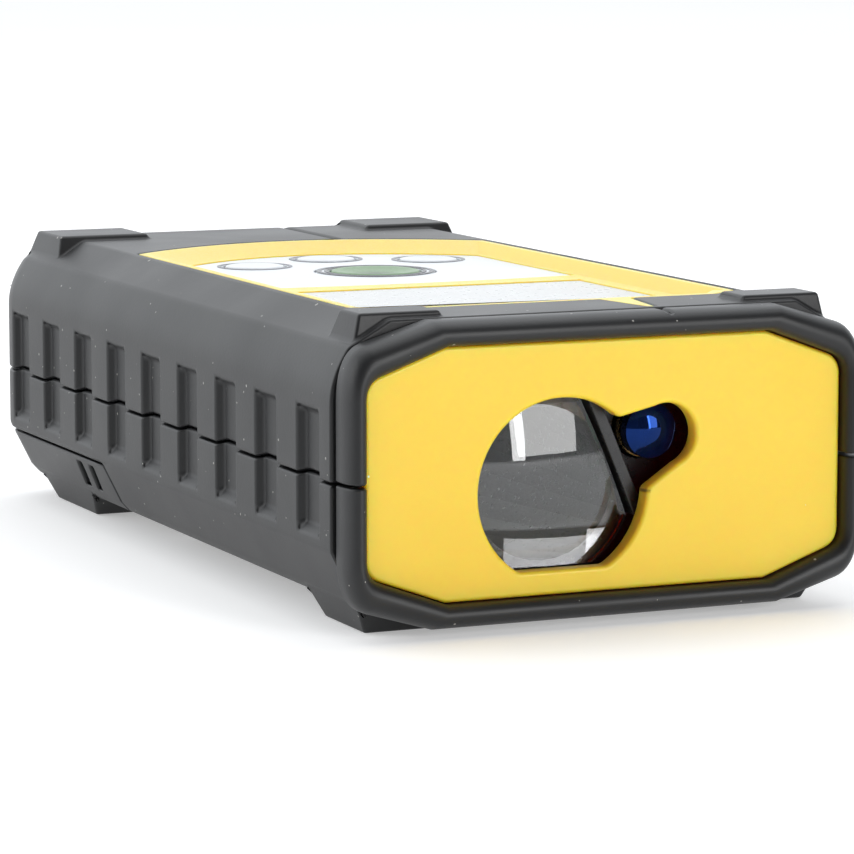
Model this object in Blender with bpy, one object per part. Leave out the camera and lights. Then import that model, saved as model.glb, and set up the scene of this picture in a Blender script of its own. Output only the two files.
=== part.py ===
"""Rugged hand-held laser distance meter, built as separate named pieces.

Metres, +Z up. The optics look towards -Y and the keypad faces +Z. The origin
is at the bottom centre of the whole meter. Lengths are written in
millimetres and turned into metres by MM. Distances along the body are
counted from the front face of the yellow front panel, and lie() turns them
into the model's own Y.
"""
import math

import bmesh
import bpy
from mathutils import Matrix, Vector

MM = 0.001

# Overall size
HEIGHT = 33.0
BODY_HALF_WIDTH = 29.9
BODY_END = 111.4
HOOP_REACH = 1.65
PANEL_FACE_Y = -(BODY_END - HOOP_REACH) / 2
OPTIC_Z = HEIGHT / 2
ABOVE = HEIGHT + 3.0
BEYOND = 40.0
PART_GAP = 0.3

# Rubber sleeve, heights above or below the optic height
PARTING = -0.4
PARTING_STEP = 0.16
CREASE = 7.5
SHOULDER_FOOT_X = 27.8
SHOULDER_FOOT_Z = 13.3
RIM_X = 23.3
RIM_Z = 15.85
BELLY_X = 27.3
BELLY_Z = -12.7
BELLY_ROUND = 1.0
FLAT_BOTTOM_X = 25.0
FLAT_BOTTOM_Z = -14.3
SHOULDER_STEPS = 5
SLEEVE_START = 2.6
END_ROUNDING = ((106.6, 0.0), (109.3, 0.5), (110.8, 1.7), (BODY_END, 3.4))

# Corner bumpers and feet: (inner x, outer x, front, rear) of the small face, then how far
# the wide face reaches beyond it inward, outward, forward and back
BUMPER_BASE = 26.0
FRONT_BUMPER = ((17.4, 26.4, 3.5, 8.6), (2.6, 1.6, 0.7, 3.4))
REAR_BUMPER = ((14.8, 26.0, 98.6, 107.6), (4.6, 2.0, 3.6, 3.0))
FOOT_TOP = 3.6
FRONT_FOOT = ((13.0, 25.4, 4.6, 15.0), (2.0, 1.6, 1.6, 2.2))
REAR_FOOT = ((13.0, 25.4, 88.0, 102.5), (2.0, 1.6, 3.0, 2.2))

# Sighting notches in the front hoop and the rear strip, half width and half depth
HOOP_NOTCH = (0.9, 0.6)
REAR_NOTCH = (1.1, 0.75)

# Grip grooves
GROOVE_COUNT = 9
GROOVE_FIRST = 8.7
GROOVE_PITCH = 11.78
GROOVE_WIDTH = 6.0
GROOVE_SLOPE = 0.6
GROOVE_DEPTH = 0.9
GROOVE_TOP = 6.7
GROOVE_BOTTOM = -6.5
GROOVE_SILL = 1.0

# Hollow of the two sleeve halves
CAVITY_X = 27.3
CAVITY_START = 1.6
CAVITY_END = 108.4
ROOF = 13.5
CAVITY_ROOF_X = 23.0
FLOOR = -12.0
CAVITY_FLOOR_X = 24.4
CAVITY_HAUNCH = 8.0
CAVITY_HIP = -7.4
CAVITY_PAST = 3.0

# Front hoop and panel
PANEL_HALF_WIDTH = 27.2
PANEL_TOP_X = 18.3
PANEL_HALF_HEIGHT = 13.1
PANEL_SIDE_Z = 9.86
PANEL_THICK = 2.2
PANEL_ROUNDING = 0.18
HOOP_BACK = 2.3
HOOP_OUTER_X = 29.5
HOOP_OUTER_TOP_X = 19.8
HOOP_OUTER_TOP = 15.8
HOOP_SHOULDER = ((26.9, 13.7), (29.4, 12.9), (HOOP_OUTER_X, 8.0))
# (share of the way from the inner to the outer outline, distance)
HOOP_SECTION = (
    (0.0, HOOP_BACK), (0.0, -0.35), (0.12, -1.3), (0.42, -HOOP_REACH),
    (0.71, -1.3), (0.92, -0.33), (1.0, 1.0), (1.0, HOOP_BACK),
)
CORNER_GROWTH = 0.4

# Openings in the panel, centred on the optic height
LENS_X = -5.05
LENS_Z = -2.35
LENS_OPENING_R = 9.6
LENS_FLAT_Z = -10.55
LASER_X = 6.8
LASER_Z = 2.75
LASER_OPENING_R = 3.35
THROAT_LENGTH = 7.0
THROAT_HALF_WIDTH = 4.6

# Top frame
WINDOW_X = 22.6
WINDOW_FRONT = 12.1
WINDOW_FRONT_CORNER = (18.5, 15.0)
WINDOW_REAR_CORNER_Y = 80.2
WINDOW_REAR_ARCH = 9.1
ARCH_STEPS = 4
FRAME_TOP = 32.3
FRAME_BASE = 28.9
POCKET_FLOOR = 29.9
LABEL_TOP = 31.0
DISH_FLOOR = 31.12
LABEL_BASE = 30.2
TONGUE_BASE = 30.5
TONGUE_ROOT_HALF = 2.0
TONGUE_TIP_HALF = 0.4
DISPLAY_LIP = 2.5
RING_WIDTH = 1.7
RING_PROUD = 0.1
KEY_EDGE = 0.25
DISPLAY = (-17.4, 17.4, 18.8, 42.6)
LABEL_X = 19.2
LABEL_NEAR = 47.6
LABEL_NEAR_BOW = 1.2
LABEL_CORNER_Y = 74.6
LABEL_ARCH = 8.6
RIM_WIDTH = 0.75
DISH_X = 19.6
DISH_FRONT = 17.2

# Keys: name, x, distance from the panel, radius
MEASURE_KEY = ("measure_button", 0.3, 62.0, 5.2)
SMALL_KEYS = (
    ("clear_key", -10.6, 72.8, 3.5),
    ("unit_key", 0.6, 78.0, 3.5),
    ("function_key", 11.8, 72.8, 3.5),
)
KEY_TOP = 31.15
MEASURE_KEY_DISH = 0.45
SMALL_KEY_DISH = 0.2
FLANGE_Z = (28.0, 28.6)
FLANGE_EXTRA = 0.8
KEY_CLEARANCE = 0.35
RING_STEPS = 40

# Inside
BOARD_Z = (24.3, 25.5)
CHASSIS_PLATE_Z = (22.6, 24.0)
POST_R = 3.1
SCREW_X = 19.5
SCREW_Y = (24.0, 68.0)
SCREW_R = 1.1
SCREW_HEAD_R = 2.3
SCREW_HEAD_Z = 2.5
SCREW_SEAT = 3.9
SCREW_TIP_Z = 13.6
CELL_R = 5.2
CELL_Z = 11.4
CELL_HALF = 21.6
CELL_Y = (84.6, 96.4)
TRAY = (-25.4, 25.4, 77.6, 103.4)
TRAY_Z = (6.8, 18.2)
TRAY_WALL = 1.2

SWITCH = (2.2, 0.8)
SCREW_EDGE = 0.2
SCREW_DISH_R = 0.8
SCREW_DISH = 0.3
SCREW_POINT_R = 0.4
PLUNGER_R = 1.1
PLUNGER_TOP = 27.2
FRAME_PLATE = (-23.0, 23.0, 35.0, 101.0)
FRAME_ARM = (20.4, 36.0)
FRAME_ARM_HALF = 3.4
POST_BASE = 5.0
POST_HOLE_TOP = 14.5
MAIN_BOARD = (-21.5, 21.5, 28.5, 99.0)
DISPLAY_MODULE_Z = (25.9, 28.5)
DISPLAY_MODULE_INSET = 0.5
BUZZER_SPOT = (-14.0, 51.0)
BUZZER_R = 4.5
BUZZER_Z = (17.8, 22.2)
PROCESSOR = (4.0, 14.0, 46.0, 56.0)
PROCESSOR_TOP = 26.8
RIBBON_HALF = 4.0
RIBBON_OUTER = ((33.4, 12.0), (33.4, 19.3), (46.0, 22.2))
RIBBON_INNER = ((33.7, 12.0), (33.7, 19.0), (46.0, 21.9))
CELL_NUB_R = 1.9
CELL_NUB = 1.0
CELL_EDGE = 0.5
CONTACT_THICK = 0.3
CONTACT_HALF = 3.6
CONTACT_SETBACK = 0.5
SPRING_WIRE_R = 0.25
SPRING_BASE_R = 3.2
SPRING_TIP_R = 1.8
SPRING_TURNS = 3
SPRING_STEPS = 10
SPRING_ROOM = 0.8

# Optics behind the panel: (x, x, distance, distance) boxes and (near, far) distances
LENS_R = LENS_OPENING_R + 0.3
LENS_BULGE = 1.0
LENS_EDGE = 0.3
LENS_BACK = 2.6
LENS_SETBACK = 1.6
LENS_CHORD = 6.9
DOME_STEPS = 4
RETAINER_HALF = 7.0
RETAINER_WIDTH = 1.3
RETAINER_DEPTH = (2.7, 6.1)
LASER_LENS_PROFILE = ((0.0, -0.5), (1.8, -0.3), (2.9, 0.2), (2.9, 1.6), (0.0, 1.6))
LASER_LENS_SETBACK = 1.4
LASER_TUBE_R = 3.0
LASER_TUBE = (5.6, 21.0)
CHASSIS = (-15.9, 12.4, 6.6, 29.5)
CHASSIS_Z = (4.9, 22.2)
TUNNEL_R = 7.8
RECEIVER_BOARD = (-16.5, 12.0, 31.8, 33.0)
RECEIVER_BOARD_Z = (5.2, 21.9)
PHOTODIODE_R = 2.4
PHOTODIODE = (28.6, 31.5)

# Battery cover
COVER_START = 73.7
COVER_TOP = -8.0
STRAP_SLOTS = (78.3, 82.6)
STRAP_SLOT_Z = (-9.1, -12.2)
STRAP_SLOT_WIDTH = 1.9
STRAP_SLOT_SLANT = 1.1
STRAP_SLOT_REACH = 4.0


def lie(distance):
    """Model Y of a distance behind the front panel's face, both in mm."""
    return distance + PANEL_FACE_Y


def rise(height):
    """Model Z of a height above the optic height, both in mm."""
    return height + OPTIC_Z


def clear_scene():
    for obj in list(bpy.data.objects):
        bpy.data.objects.remove(obj, do_unlink=True)


def make_material(name, colour, roughness, metallic=0.0, transmission=0.0):
    mat = bpy.data.materials.new(name)
    mat.use_nodes = True
    shader = mat.node_tree.nodes["Principled BSDF"]
    shader.inputs["Base Color"].default_value = (*colour, 1.0)
    shader.inputs["Roughness"].default_value = roughness
    shader.inputs["Metallic"].default_value = metallic
    shader.inputs["Transmission Weight"].default_value = transmission
    return mat


def make_materials():
    return {
        "rubber": make_material("rubber", (0.035, 0.036, 0.040), 0.62),
        "yellow": make_material("yellow", (0.93, 0.60, 0.07), 0.33),
        "black": make_material("black", (0.015, 0.015, 0.017), 0.4),
        "white": make_material("white", (0.85, 0.86, 0.88), 0.4),
        "green": make_material("green", (0.28, 0.62, 0.24), 0.4),
        "grey": make_material("grey", (0.24, 0.25, 0.28), 0.45),
        "display": make_material("display", (0.72, 0.73, 0.72), 0.2),
        "glass": make_material("glass", (0.9, 0.92, 0.95), 0.02, 0.0, 0.9),
        "blue": make_material("blue", (0.02, 0.04, 0.35), 0.05),
        "board": make_material("board", (0.02, 0.18, 0.07), 0.5),
        "steel": make_material("steel", (0.6, 0.6, 0.62), 0.3, 1.0),
        "brass": make_material("brass", (0.72, 0.52, 0.2), 0.3, 1.0),
        "cell": make_material("cell", (0.10, 0.10, 0.12), 0.35, 0.4),
    }


def add_object(bm, name, mat=None, origin=(0.0, 0.0, 0.0), smooth=False):
    """Turn a bmesh in model millimetres into an object with its own origin."""
    bmesh.ops.recalc_face_normals(bm, faces=bm.faces)
    shift = Vector(origin)
    bmesh.ops.translate(bm, verts=bm.verts, vec=-shift)
    bmesh.ops.scale(bm, verts=bm.verts, vec=(MM, MM, MM))
    mesh = bpy.data.meshes.new(name)
    bm.to_mesh(mesh)
    bm.free()
    obj = bpy.data.objects.new(name, mesh)
    bpy.context.collection.objects.link(obj)
    obj.location = shift * MM
    if mat:
        mesh.materials.append(mat)
    if smooth:
        mesh.shade_smooth()
        mesh.set_sharp_from_angle(angle=math.radians(35))
    return obj


def add_cutter(bm, name):
    cutter = add_object(bm, name)
    cutter.hide_render = True
    cutter.display_type = "WIRE"
    return cutter


def combine(obj, cutter, operation):
    modifier = obj.modifiers.new(cutter.name, "BOOLEAN")
    modifier.operation = operation
    modifier.object = cutter
    modifier.solver = "EXACT"


def cut(obj, bm, name):
    combine(obj, add_cutter(bm, name), "DIFFERENCE")


def join(obj, bm, name):
    combine(obj, add_cutter(bm, name), "UNION")


def loft(loops):
    """Closed solid through loops that have the same number of points."""
    bm = bmesh.new()
    rings = [[bm.verts.new(point) for point in loop] for loop in loops]
    for near, far in zip(rings, rings[1:]):
        for i in range(len(near)):
            j = (i + 1) % len(near)
            bm.faces.new((near[i], near[j], far[j], far[i]))
    bm.faces.new(rings[0])
    bm.faces.new(list(reversed(rings[-1])))
    return bm


def plate(outline, low, high):
    """Upright prism from an outline of (x, distance) points."""
    loops = [[(x, lie(y), z) for x, y in outline] for z in (low, high)]
    return loft(loops)


def rectangle(x0, x1, y0, y1):
    return ((x0, y0), (x1, y0), (x1, y1), (x0, y1))


def block(x0, x1, y0, y1, z0, z1):
    return plate(rectangle(x0, x1, y0, y1), z0, z1)


def circle(radius, steps):
    angles = [2 * math.pi * i / steps for i in range(steps)]
    return [(radius * math.cos(a), radius * math.sin(a)) for a in angles]


def turned(profile, centre, axis="Z", steps=32):
    """Solid of revolution from (radius, height) points that start and end on the axis."""
    bm = bmesh.new()
    rings = []
    for radius, height in profile[1:-1]:
        ring = [bm.verts.new((x, y, height)) for x, y in circle(radius, steps)]
        rings.append(ring)
    for low, high in zip(rings, rings[1:]):
        for i in range(steps):
            j = (i + 1) % steps
            bm.faces.new((low[i], low[j], high[j], high[i]))
    start = bm.verts.new((0.0, 0.0, profile[0][1]))
    end = bm.verts.new((0.0, 0.0, profile[-1][1]))
    for i in range(steps):
        j = (i + 1) % steps
        bm.faces.new((rings[0][j], rings[0][i], start))
        bm.faces.new((rings[-1][i], rings[-1][j], end))
    turn = {
        "Z": Matrix.Identity(3),
        "Y": Matrix.Rotation(math.radians(-90), 3, "X"),
        "X": Matrix.Rotation(math.radians(90), 3, "Y"),
    }[axis]
    bmesh.ops.rotate(bm, verts=bm.verts, cent=(0, 0, 0), matrix=turn)
    bmesh.ops.translate(bm, verts=bm.verts, vec=centre)
    return bm


def rod(radius, low, high, centre, axis="Z", steps=24):
    return turned(((0, low), (radius, low), (radius, high), (0, high)), centre, axis, steps)


def ring_solid(inner, outer, low, high, centre, axis="Z", steps=32):
    """Closed ring with a square section."""
    bm = bmesh.new()
    corners = ((inner, low), (outer, low), (outer, high), (inner, high))
    rings = [[bm.verts.new((x, y, z)) for x, y in circle(r, steps)] for r, z in corners]
    for k in range(len(rings)):
        near, far = rings[k], rings[(k + 1) % len(rings)]
        for i in range(steps):
            j = (i + 1) % steps
            bm.faces.new((near[i], near[j], far[j], far[i]))
    if axis == "Y":
        turn = Matrix.Rotation(math.radians(-90), 3, "X")
        bmesh.ops.rotate(bm, verts=bm.verts, cent=(0, 0, 0), matrix=turn)
    bmesh.ops.translate(bm, verts=bm.verts, vec=centre)
    return bm


# ---- rubber sleeve -------------------------------------------------------


def groove_depth_at(distance):
    """How deep the grip grooves are at a distance along the body."""
    for i in range(GROOVE_COUNT):
        offset = abs(distance - GROOVE_FIRST - i * GROOVE_PITCH)
        if offset <= GROOVE_WIDTH / 2 - GROOVE_SLOPE + 0.01:
            return GROOVE_DEPTH
    return 0.0


def sleeve_stations():
    """Distances along the body where the sleeve's section is drawn."""
    stations = [SLEEVE_START]
    for i in range(GROOVE_COUNT):
        middle = GROOVE_FIRST + i * GROOVE_PITCH
        half = GROOVE_WIDTH / 2
        stations += [middle - half, middle - half + GROOVE_SLOPE]
        stations += [middle + half - GROOVE_SLOPE, middle + half]
    return [(distance, 0.0) for distance in stations] + list(END_ROUNDING)


def shoulder_arc():
    """Points of the rounded shoulder from the wall up to the facet."""
    points = []
    rise_height = SHOULDER_FOOT_Z - CREASE
    inward = BODY_HALF_WIDTH - SHOULDER_FOOT_X
    for i in range(1, SHOULDER_STEPS + 1):
        t = i / SHOULDER_STEPS
        points.append((BODY_HALF_WIDTH - inward * t * t, CREASE + rise_height * t))
    return points


def parting_height(depth):
    """The halves interlock: the joint sits higher in the grooves than on the ribs."""
    return PARTING + PARTING_STEP * (2 * depth / GROOVE_DEPTH - 1)


def upper_side(depth):
    wall = BODY_HALF_WIDTH
    return [
        (wall - depth, parting_height(depth) + PART_GAP / 2),
        (wall - depth, GROOVE_TOP - GROOVE_SLOPE),
        (wall, GROOVE_TOP),
        (wall, CREASE),
        *shoulder_arc(),
        (RIM_X, RIM_Z),
    ]


def lower_side(depth):
    wall = BODY_HALF_WIDTH
    return [
        (wall - depth, parting_height(depth) - PART_GAP / 2),
        (wall - depth, GROOVE_BOTTOM + GROOVE_SILL),
        (wall, GROOVE_BOTTOM),
        (wall, -CREASE),
        (BELLY_X, BELLY_Z),
        (BELLY_X - BELLY_ROUND, BELLY_Z - BELLY_ROUND),
        (FLAT_BOTTOM_X, FLAT_BOTTOM_Z),
    ]


def sleeve_half(side):
    """Solid half of the body, closed over its whole inside."""
    loops = []
    for distance, inset in sleeve_stations():
        depth = groove_depth_at(distance)
        half = [(x - inset, z * (1 - inset / OPTIC_Z)) for x, z in side(depth)]
        right = [(x, lie(distance), rise(z)) for x, z in half]
        left = [(-x, lie(distance), rise(z)) for x, z in reversed(half)]
        loops.append(right + left)
    return loft(loops)


def cavity(outline):
    loops = []
    for distance in (CAVITY_START, CAVITY_END):
        loops.append([(x, lie(distance), rise(z)) for x, z in outline])
    return loft(loops)


def upper_cavity():
    return cavity((
        (-CAVITY_X, -CAVITY_PAST), (CAVITY_X, -CAVITY_PAST), (CAVITY_X, CAVITY_HAUNCH),
        (CAVITY_ROOF_X, ROOF), (-CAVITY_ROOF_X, ROOF), (-CAVITY_X, CAVITY_HAUNCH),
    ))


def lower_cavity():
    return cavity((
        (-CAVITY_X, CAVITY_PAST), (-CAVITY_X, CAVITY_HIP), (-CAVITY_FLOOR_X, FLOOR),
        (CAVITY_FLOOR_X, FLOOR), (CAVITY_X, CAVITY_HIP), (CAVITY_X, CAVITY_PAST),
    ))


def arch(half_width, corner_y, height):
    """Points of a shallow arch across the body, from its right end to its left."""
    points = []
    for i in range(2 * ARCH_STEPS + 1):
        share = 1 - i / ARCH_STEPS
        points.append((half_width * share, corner_y + height * (1 - share * share)))
    return points


def window_outline(inset):
    """Outline of the opening in the top, with an arched rear edge, shrunk by an inset."""
    front_x, front_y = WINDOW_FRONT_CORNER
    half = WINDOW_X - inset
    front = [(front_x - inset * 0.3, WINDOW_FRONT + inset), (half, front_y + inset * 0.6)]
    rear = arch(half, WINDOW_REAR_CORNER_Y - inset * 0.5, WINDOW_REAR_ARCH - inset * 0.5)
    return front + rear + [(-x, y) for x, y in reversed(front)]


def dish_outline():
    """Floor of the dish, with the same number of points as the opening's outline."""
    front = [(DISH_X - 3.0, DISH_FRONT), (DISH_X, DISH_FRONT)]
    rear = arch(DISH_X, LABEL_CORNER_Y + 2 * PART_GAP, LABEL_ARCH)
    return front + rear + [(-x, y) for x, y in reversed(front)]


def label_outline(inset):
    """Keypad film: bowed near edge, straight sides and an arched far edge."""
    half = LABEL_X - inset
    far = arch(half, LABEL_CORNER_Y - inset, LABEL_ARCH)
    near = arch(half, LABEL_NEAR + inset, -LABEL_NEAR_BOW)
    return [(x, y) for x, y in reversed(near)] + far


def bumper(shape, wide_z, small_z):
    """Tapered corner block between a wide face and a small one."""
    (x_in, x_out, y0, y1), (inward, outward, forward, back) = shape
    wide = rectangle(x_in - inward, x_out + outward, y0 - forward, y1 + back)
    small = rectangle(x_in, x_out, y0, y1)
    levels = ((wide, wide_z), (small, small_z))
    return loft([[(x, lie(y), z) for x, y in outline] for outline, z in levels])


def both_sides(shape, wide_z, small_z):
    return (bumper(shape, wide_z, small_z), mirrored(bumper(shape, wide_z, small_z)))


def mirrored(bm):
    bmesh.ops.scale(bm, verts=bm.verts, vec=(-1, 1, 1))
    bmesh.ops.reverse_faces(bm, faces=bm.faces)
    return bm


def tongue_outline(inset):
    """Yellow pointer that runs from the top frame into the front strip."""
    return (
        (LASER_X - TONGUE_ROOT_HALF + inset, WINDOW_FRONT + 1.0),
        (LASER_X - TONGUE_TIP_HALF + inset, SLEEVE_START + 1.0 + inset),
        (LASER_X + TONGUE_TIP_HALF - inset, SLEEVE_START + 1.0 + inset),
        (LASER_X + TONGUE_ROOT_HALF - inset, WINDOW_FRONT + 1.0),
    )


def notch(y0, y1, size, top):
    """Three-sided sighting notch that runs along the body."""
    width, depth = size
    section = ((-width, top + depth), (0.0, top - depth), (width, top + depth))
    return loft([[(LASER_X + x, lie(y), z) for x, z in section] for y in (y0, y1)])


def make_upper_overmold(mat):
    obj = add_object(sleeve_half(upper_side), "upper_overmold", mat, smooth=True)
    for name, shape in (("front_bumper", FRONT_BUMPER), ("rear_bumper", REAR_BUMPER)):
        for i, solid in enumerate(both_sides(shape, BUMPER_BASE, HEIGHT)):
            join(obj, solid, f"{name}_{i}")
    cut(obj, upper_cavity(), "upper_cavity")
    cut(obj, plate(window_outline(0.0), BUMPER_BASE, ABOVE), "window_cutter")
    cut(obj, plate(tongue_outline(0.0), BUMPER_BASE, ABOVE), "tongue_cutter")
    cut(obj, notch(WINDOW_REAR_CORNER_Y, BODY_END + 2.0, REAR_NOTCH, rise(RIM_Z)), "rear_notch")
    return obj


def screw_recess(x, y):
    head = rod(SCREW_HEAD_R + PART_GAP, -1.0, SCREW_SEAT, (x, lie(y), 0.0))
    shank = rod(SCREW_R + PART_GAP, -1.0, SCREW_TIP_Z, (x, lie(y), 0.0))
    return head, shank


def screw_places():
    return [(sign * SCREW_X, y) for y in SCREW_Y for sign in (-1, 1)]


def strap_slot(y):
    """Slanted slot through the left lower facet."""
    high, low = STRAP_SLOT_Z
    slant, width = STRAP_SLOT_SLANT, STRAP_SLOT_WIDTH
    section = ((y, high), (y + width, high), (y + width + slant, low), (y + slant, low))
    walls = (BODY_HALF_WIDTH - STRAP_SLOT_REACH, BODY_HALF_WIDTH + 1.0)
    return loft([[(-x, lie(d), rise(z)) for d, z in section] for x in walls])


def make_lower_overmold(mat):
    obj = add_object(sleeve_half(lower_side), "lower_overmold", mat, smooth=True)
    for i, foot in enumerate(both_sides(FRONT_FOOT, FOOT_TOP, 0.0)):
        join(obj, foot, f"front_foot_{i}")
    cut(obj, lower_cavity(), "lower_cavity")
    for i, (x, y) in enumerate(screw_places()):
        head, shank = screw_recess(x, y)
        cut(obj, head, f"screw_head_recess_{i}")
        cut(obj, shank, f"screw_shank_hole_{i}")
    bay = block(-BEYOND, BEYOND, COVER_START - PART_GAP, BODY_END + BEYOND, -BEYOND, rise(COVER_TOP))
    cut(obj, bay, "cover_bay")
    return obj


def make_battery_cover(mat):
    obj = add_object(sleeve_half(lower_side), "battery_cover", mat, smooth=True)
    for i, foot in enumerate(both_sides(REAR_FOOT, FOOT_TOP, 0.0)):
        join(obj, foot, f"rear_foot_{i}")
    cut(obj, lower_cavity(), "cover_cavity")
    for i, start in enumerate(STRAP_SLOTS):
        cut(obj, strap_slot(start), f"strap_slot_{i}")
    cut(obj, block(-BEYOND, BEYOND, -BEYOND, COVER_START, -BEYOND, BEYOND), "cover_front_trim")
    top = rise(COVER_TOP) - PART_GAP
    cut(obj, block(-BEYOND, BEYOND, -BEYOND, BODY_END + BEYOND, top, BEYOND), "cover_top_trim")
    return obj


# ---- front hoop and panel ------------------------------------------------


def octagon(top, shoulder, steps=3):
    """Octagon in the XZ plane: its top corner, and a shoulder rounded through three points."""
    corner = [top]
    for i in range(steps + 1):
        t = i / steps
        weights = ((1 - t) ** 2, 2 * t * (1 - t), t * t)
        x = sum(w * point[0] for w, point in zip(weights, shoulder))
        z = sum(w * point[1] for w, point in zip(weights, shoulder))
        corner.append((x, z))
    lower_right = [(x, -z) for x, z in reversed(corner)]
    lower_left = [(-x, -z) for x, z in corner]
    upper_left = [(-x, z) for x, z in reversed(corner)]
    return corner + lower_right + lower_left + upper_left


def hoop_outer():
    return octagon((HOOP_OUTER_TOP_X, HOOP_OUTER_TOP), HOOP_SHOULDER)


def panel_outline(grow):
    half_width = PANEL_HALF_WIDTH + grow
    top = (PANEL_TOP_X + grow * CORNER_GROWTH, PANEL_HALF_HEIGHT + grow)
    side_z = PANEL_SIDE_Z + grow * CORNER_GROWTH
    before = (
        half_width - (half_width - top[0]) * PANEL_ROUNDING,
        side_z + (top[1] - side_z) * PANEL_ROUNDING,
    )
    after = (half_width, side_z * (1 - PANEL_ROUNDING))
    return octagon(top, (before, (half_width, side_z), after))


def blend_outlines(inner, outer, t):
    return [(a[0] + (b[0] - a[0]) * t, a[1] + (b[1] - a[1]) * t) for a, b in zip(inner, outer)]


def hoop_solid():
    """Bulging ring around the panel, closed all the way round."""
    inner = panel_outline(PART_GAP)
    outer = hoop_outer()
    bm = bmesh.new()
    rings = []
    for share, distance in HOOP_SECTION:
        outline = blend_outlines(inner, outer, share)
        rings.append([bm.verts.new((x, lie(distance), rise(z))) for x, z in outline])
    count = len(rings[0])
    for k in range(len(rings)):
        near, far = rings[k], rings[(k + 1) % len(rings)]
        for i in range(count):
            j = (i + 1) % count
            bm.faces.new((near[i], near[j], far[j], far[i]))
    return bm


def make_hoop(name, mat, upper):
    obj = add_object(hoop_solid(), name, mat, smooth=True)
    edge = rise(PARTING)
    if upper:
        trim = block(-BEYOND, BEYOND, -BEYOND, BEYOND, -BEYOND, edge + PART_GAP / 2)
        cut(obj, trim, "hoop_upper_trim")
        cut(obj, notch(-2 * HOOP_BACK, 2 * HOOP_BACK, HOOP_NOTCH, rise(HOOP_OUTER_TOP)), "hoop_notch")
    else:
        trim = block(-BEYOND, BEYOND, -BEYOND, BEYOND, edge - PART_GAP / 2, BEYOND)
        cut(obj, trim, "hoop_lower_trim")
    return obj


def upright(outline, y0, y1):
    """Prism along Y from an outline of (x, height) points."""
    return loft([[(x, lie(y), rise(z)) for x, z in outline] for y in (y0, y1)])


def lens_opening_outline(steps=48):
    """Circle of the large lens with its flat foot."""
    round_points = circle(LENS_OPENING_R, steps)
    return [(LENS_X + x, max(LENS_Z + z, LENS_FLAT_Z)) for x, z in round_points]


def laser_directions():
    """Unit vectors in the XZ plane from the large lens to the laser, and across that."""
    along = Vector((LASER_X - LENS_X, LASER_Z - LENS_Z)).normalized()
    return along, Vector((-along.y, along.x))


def laser_opening_outline(steps=16):
    """Round-ended slot that widens from the laser into the large lens's opening."""
    radius = LASER_OPENING_R
    along, across = laser_directions()
    centre = Vector((LASER_X, LASER_Z))
    root = centre - along * THROAT_LENGTH
    outline = [root + across * THROAT_HALF_WIDTH, root - across * THROAT_HALF_WIDTH]
    for i in range(steps + 1):
        angle = math.pi * (i / steps - 0.5)
        outline.append(centre + along * radius * math.cos(angle) + across * radius * math.sin(angle))
    return [tuple(point) for point in outline]


def make_front_panel(mat):
    obj = add_object(upright(panel_outline(0.0), 0.0, PANEL_THICK), "front_panel", mat, smooth=True)
    through = (-PANEL_THICK, 2 * PANEL_THICK)
    cut(obj, upright(lens_opening_outline(), *through), "lens_opening")
    cut(obj, upright(laser_opening_outline(), *through), "laser_opening")
    return obj


# ---- top frame, display and keys ----------------------------------------


def make_dish():
    """Shallow hollow that slopes from the thin rim down to the display and keypad."""
    rim = window_outline(PART_GAP + RIM_WIDTH)
    floor = dish_outline()
    over = 1.0
    lift = FRAME_TOP - DISH_FLOOR
    above = []
    for (x, y), (floor_x, floor_y) in zip(rim, floor):
        above.append((x + (x - floor_x) * over / lift, y + (y - floor_y) * over / lift))
    levels = ((floor, DISH_FLOOR), (above, FRAME_TOP + over))
    return loft([[(x, lie(y), z) for x, y in outline] for outline, z in levels])


def make_top_frame(mat):
    obj = add_object(plate(window_outline(PART_GAP), FRAME_BASE, FRAME_TOP), "top_frame", mat)
    join(obj, plate(tongue_outline(PART_GAP), TONGUE_BASE, FRAME_TOP), "pointer")
    cut(obj, make_dish(), "dish")
    cut(obj, plate(rectangle(*DISPLAY), POCKET_FLOOR, ABOVE), "display_pocket")
    cut(obj, plate(label_outline(0.0), POCKET_FLOOR, ABOVE), "label_pocket")
    x0, x1, y0, y1 = DISPLAY
    lip = DISPLAY_LIP
    hole = block(x0 + lip, x1 - lip, y0 + lip, y1 - lip, FRAME_BASE - 1.0, LABEL_TOP)
    cut(obj, hole, "display_opening")
    for name, x, y, radius in (MEASURE_KEY, *SMALL_KEYS):
        hole = rod(radius + KEY_CLEARANCE, FRAME_BASE - 1.0, LABEL_TOP, (x, lie(y), 0.0))
        cut(obj, hole, f"{name}_hole")
    return obj


def make_display_window(mat):
    x0, x1, y0, y1 = DISPLAY
    bm = block(x0 + PART_GAP, x1 - PART_GAP, y0 + PART_GAP, y1 - PART_GAP, LABEL_BASE, LABEL_TOP)
    return add_object(bm, "display_window", mat)


def make_keypad_label(mat):
    obj = add_object(plate(label_outline(PART_GAP), LABEL_BASE, LABEL_TOP), "keypad_label", mat)
    _, x, y, radius = MEASURE_KEY
    hole_radius = radius + RING_WIDTH + PART_GAP
    hole = rod(hole_radius, FRAME_BASE, ABOVE, (x, lie(y), 0.0), steps=RING_STEPS)
    cut(obj, hole, "button_ring_hole")
    for name, x, y, radius in SMALL_KEYS:
        hole = rod(radius + KEY_CLEARANCE, FRAME_BASE, ABOVE, (x, lie(y), 0.0))
        cut(obj, hole, f"{name}_label_hole")
    return obj


def make_button_ring(mat):
    _, x, y, radius = MEASURE_KEY
    inner, outer = radius + KEY_CLEARANCE, radius + RING_WIDTH
    spot = (x, lie(y), 0.0)
    bm = ring_solid(inner, outer, LABEL_BASE, LABEL_TOP + RING_PROUD, spot, steps=RING_STEPS)
    return add_object(bm, "measure_button_ring", mat, smooth=True)


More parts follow.
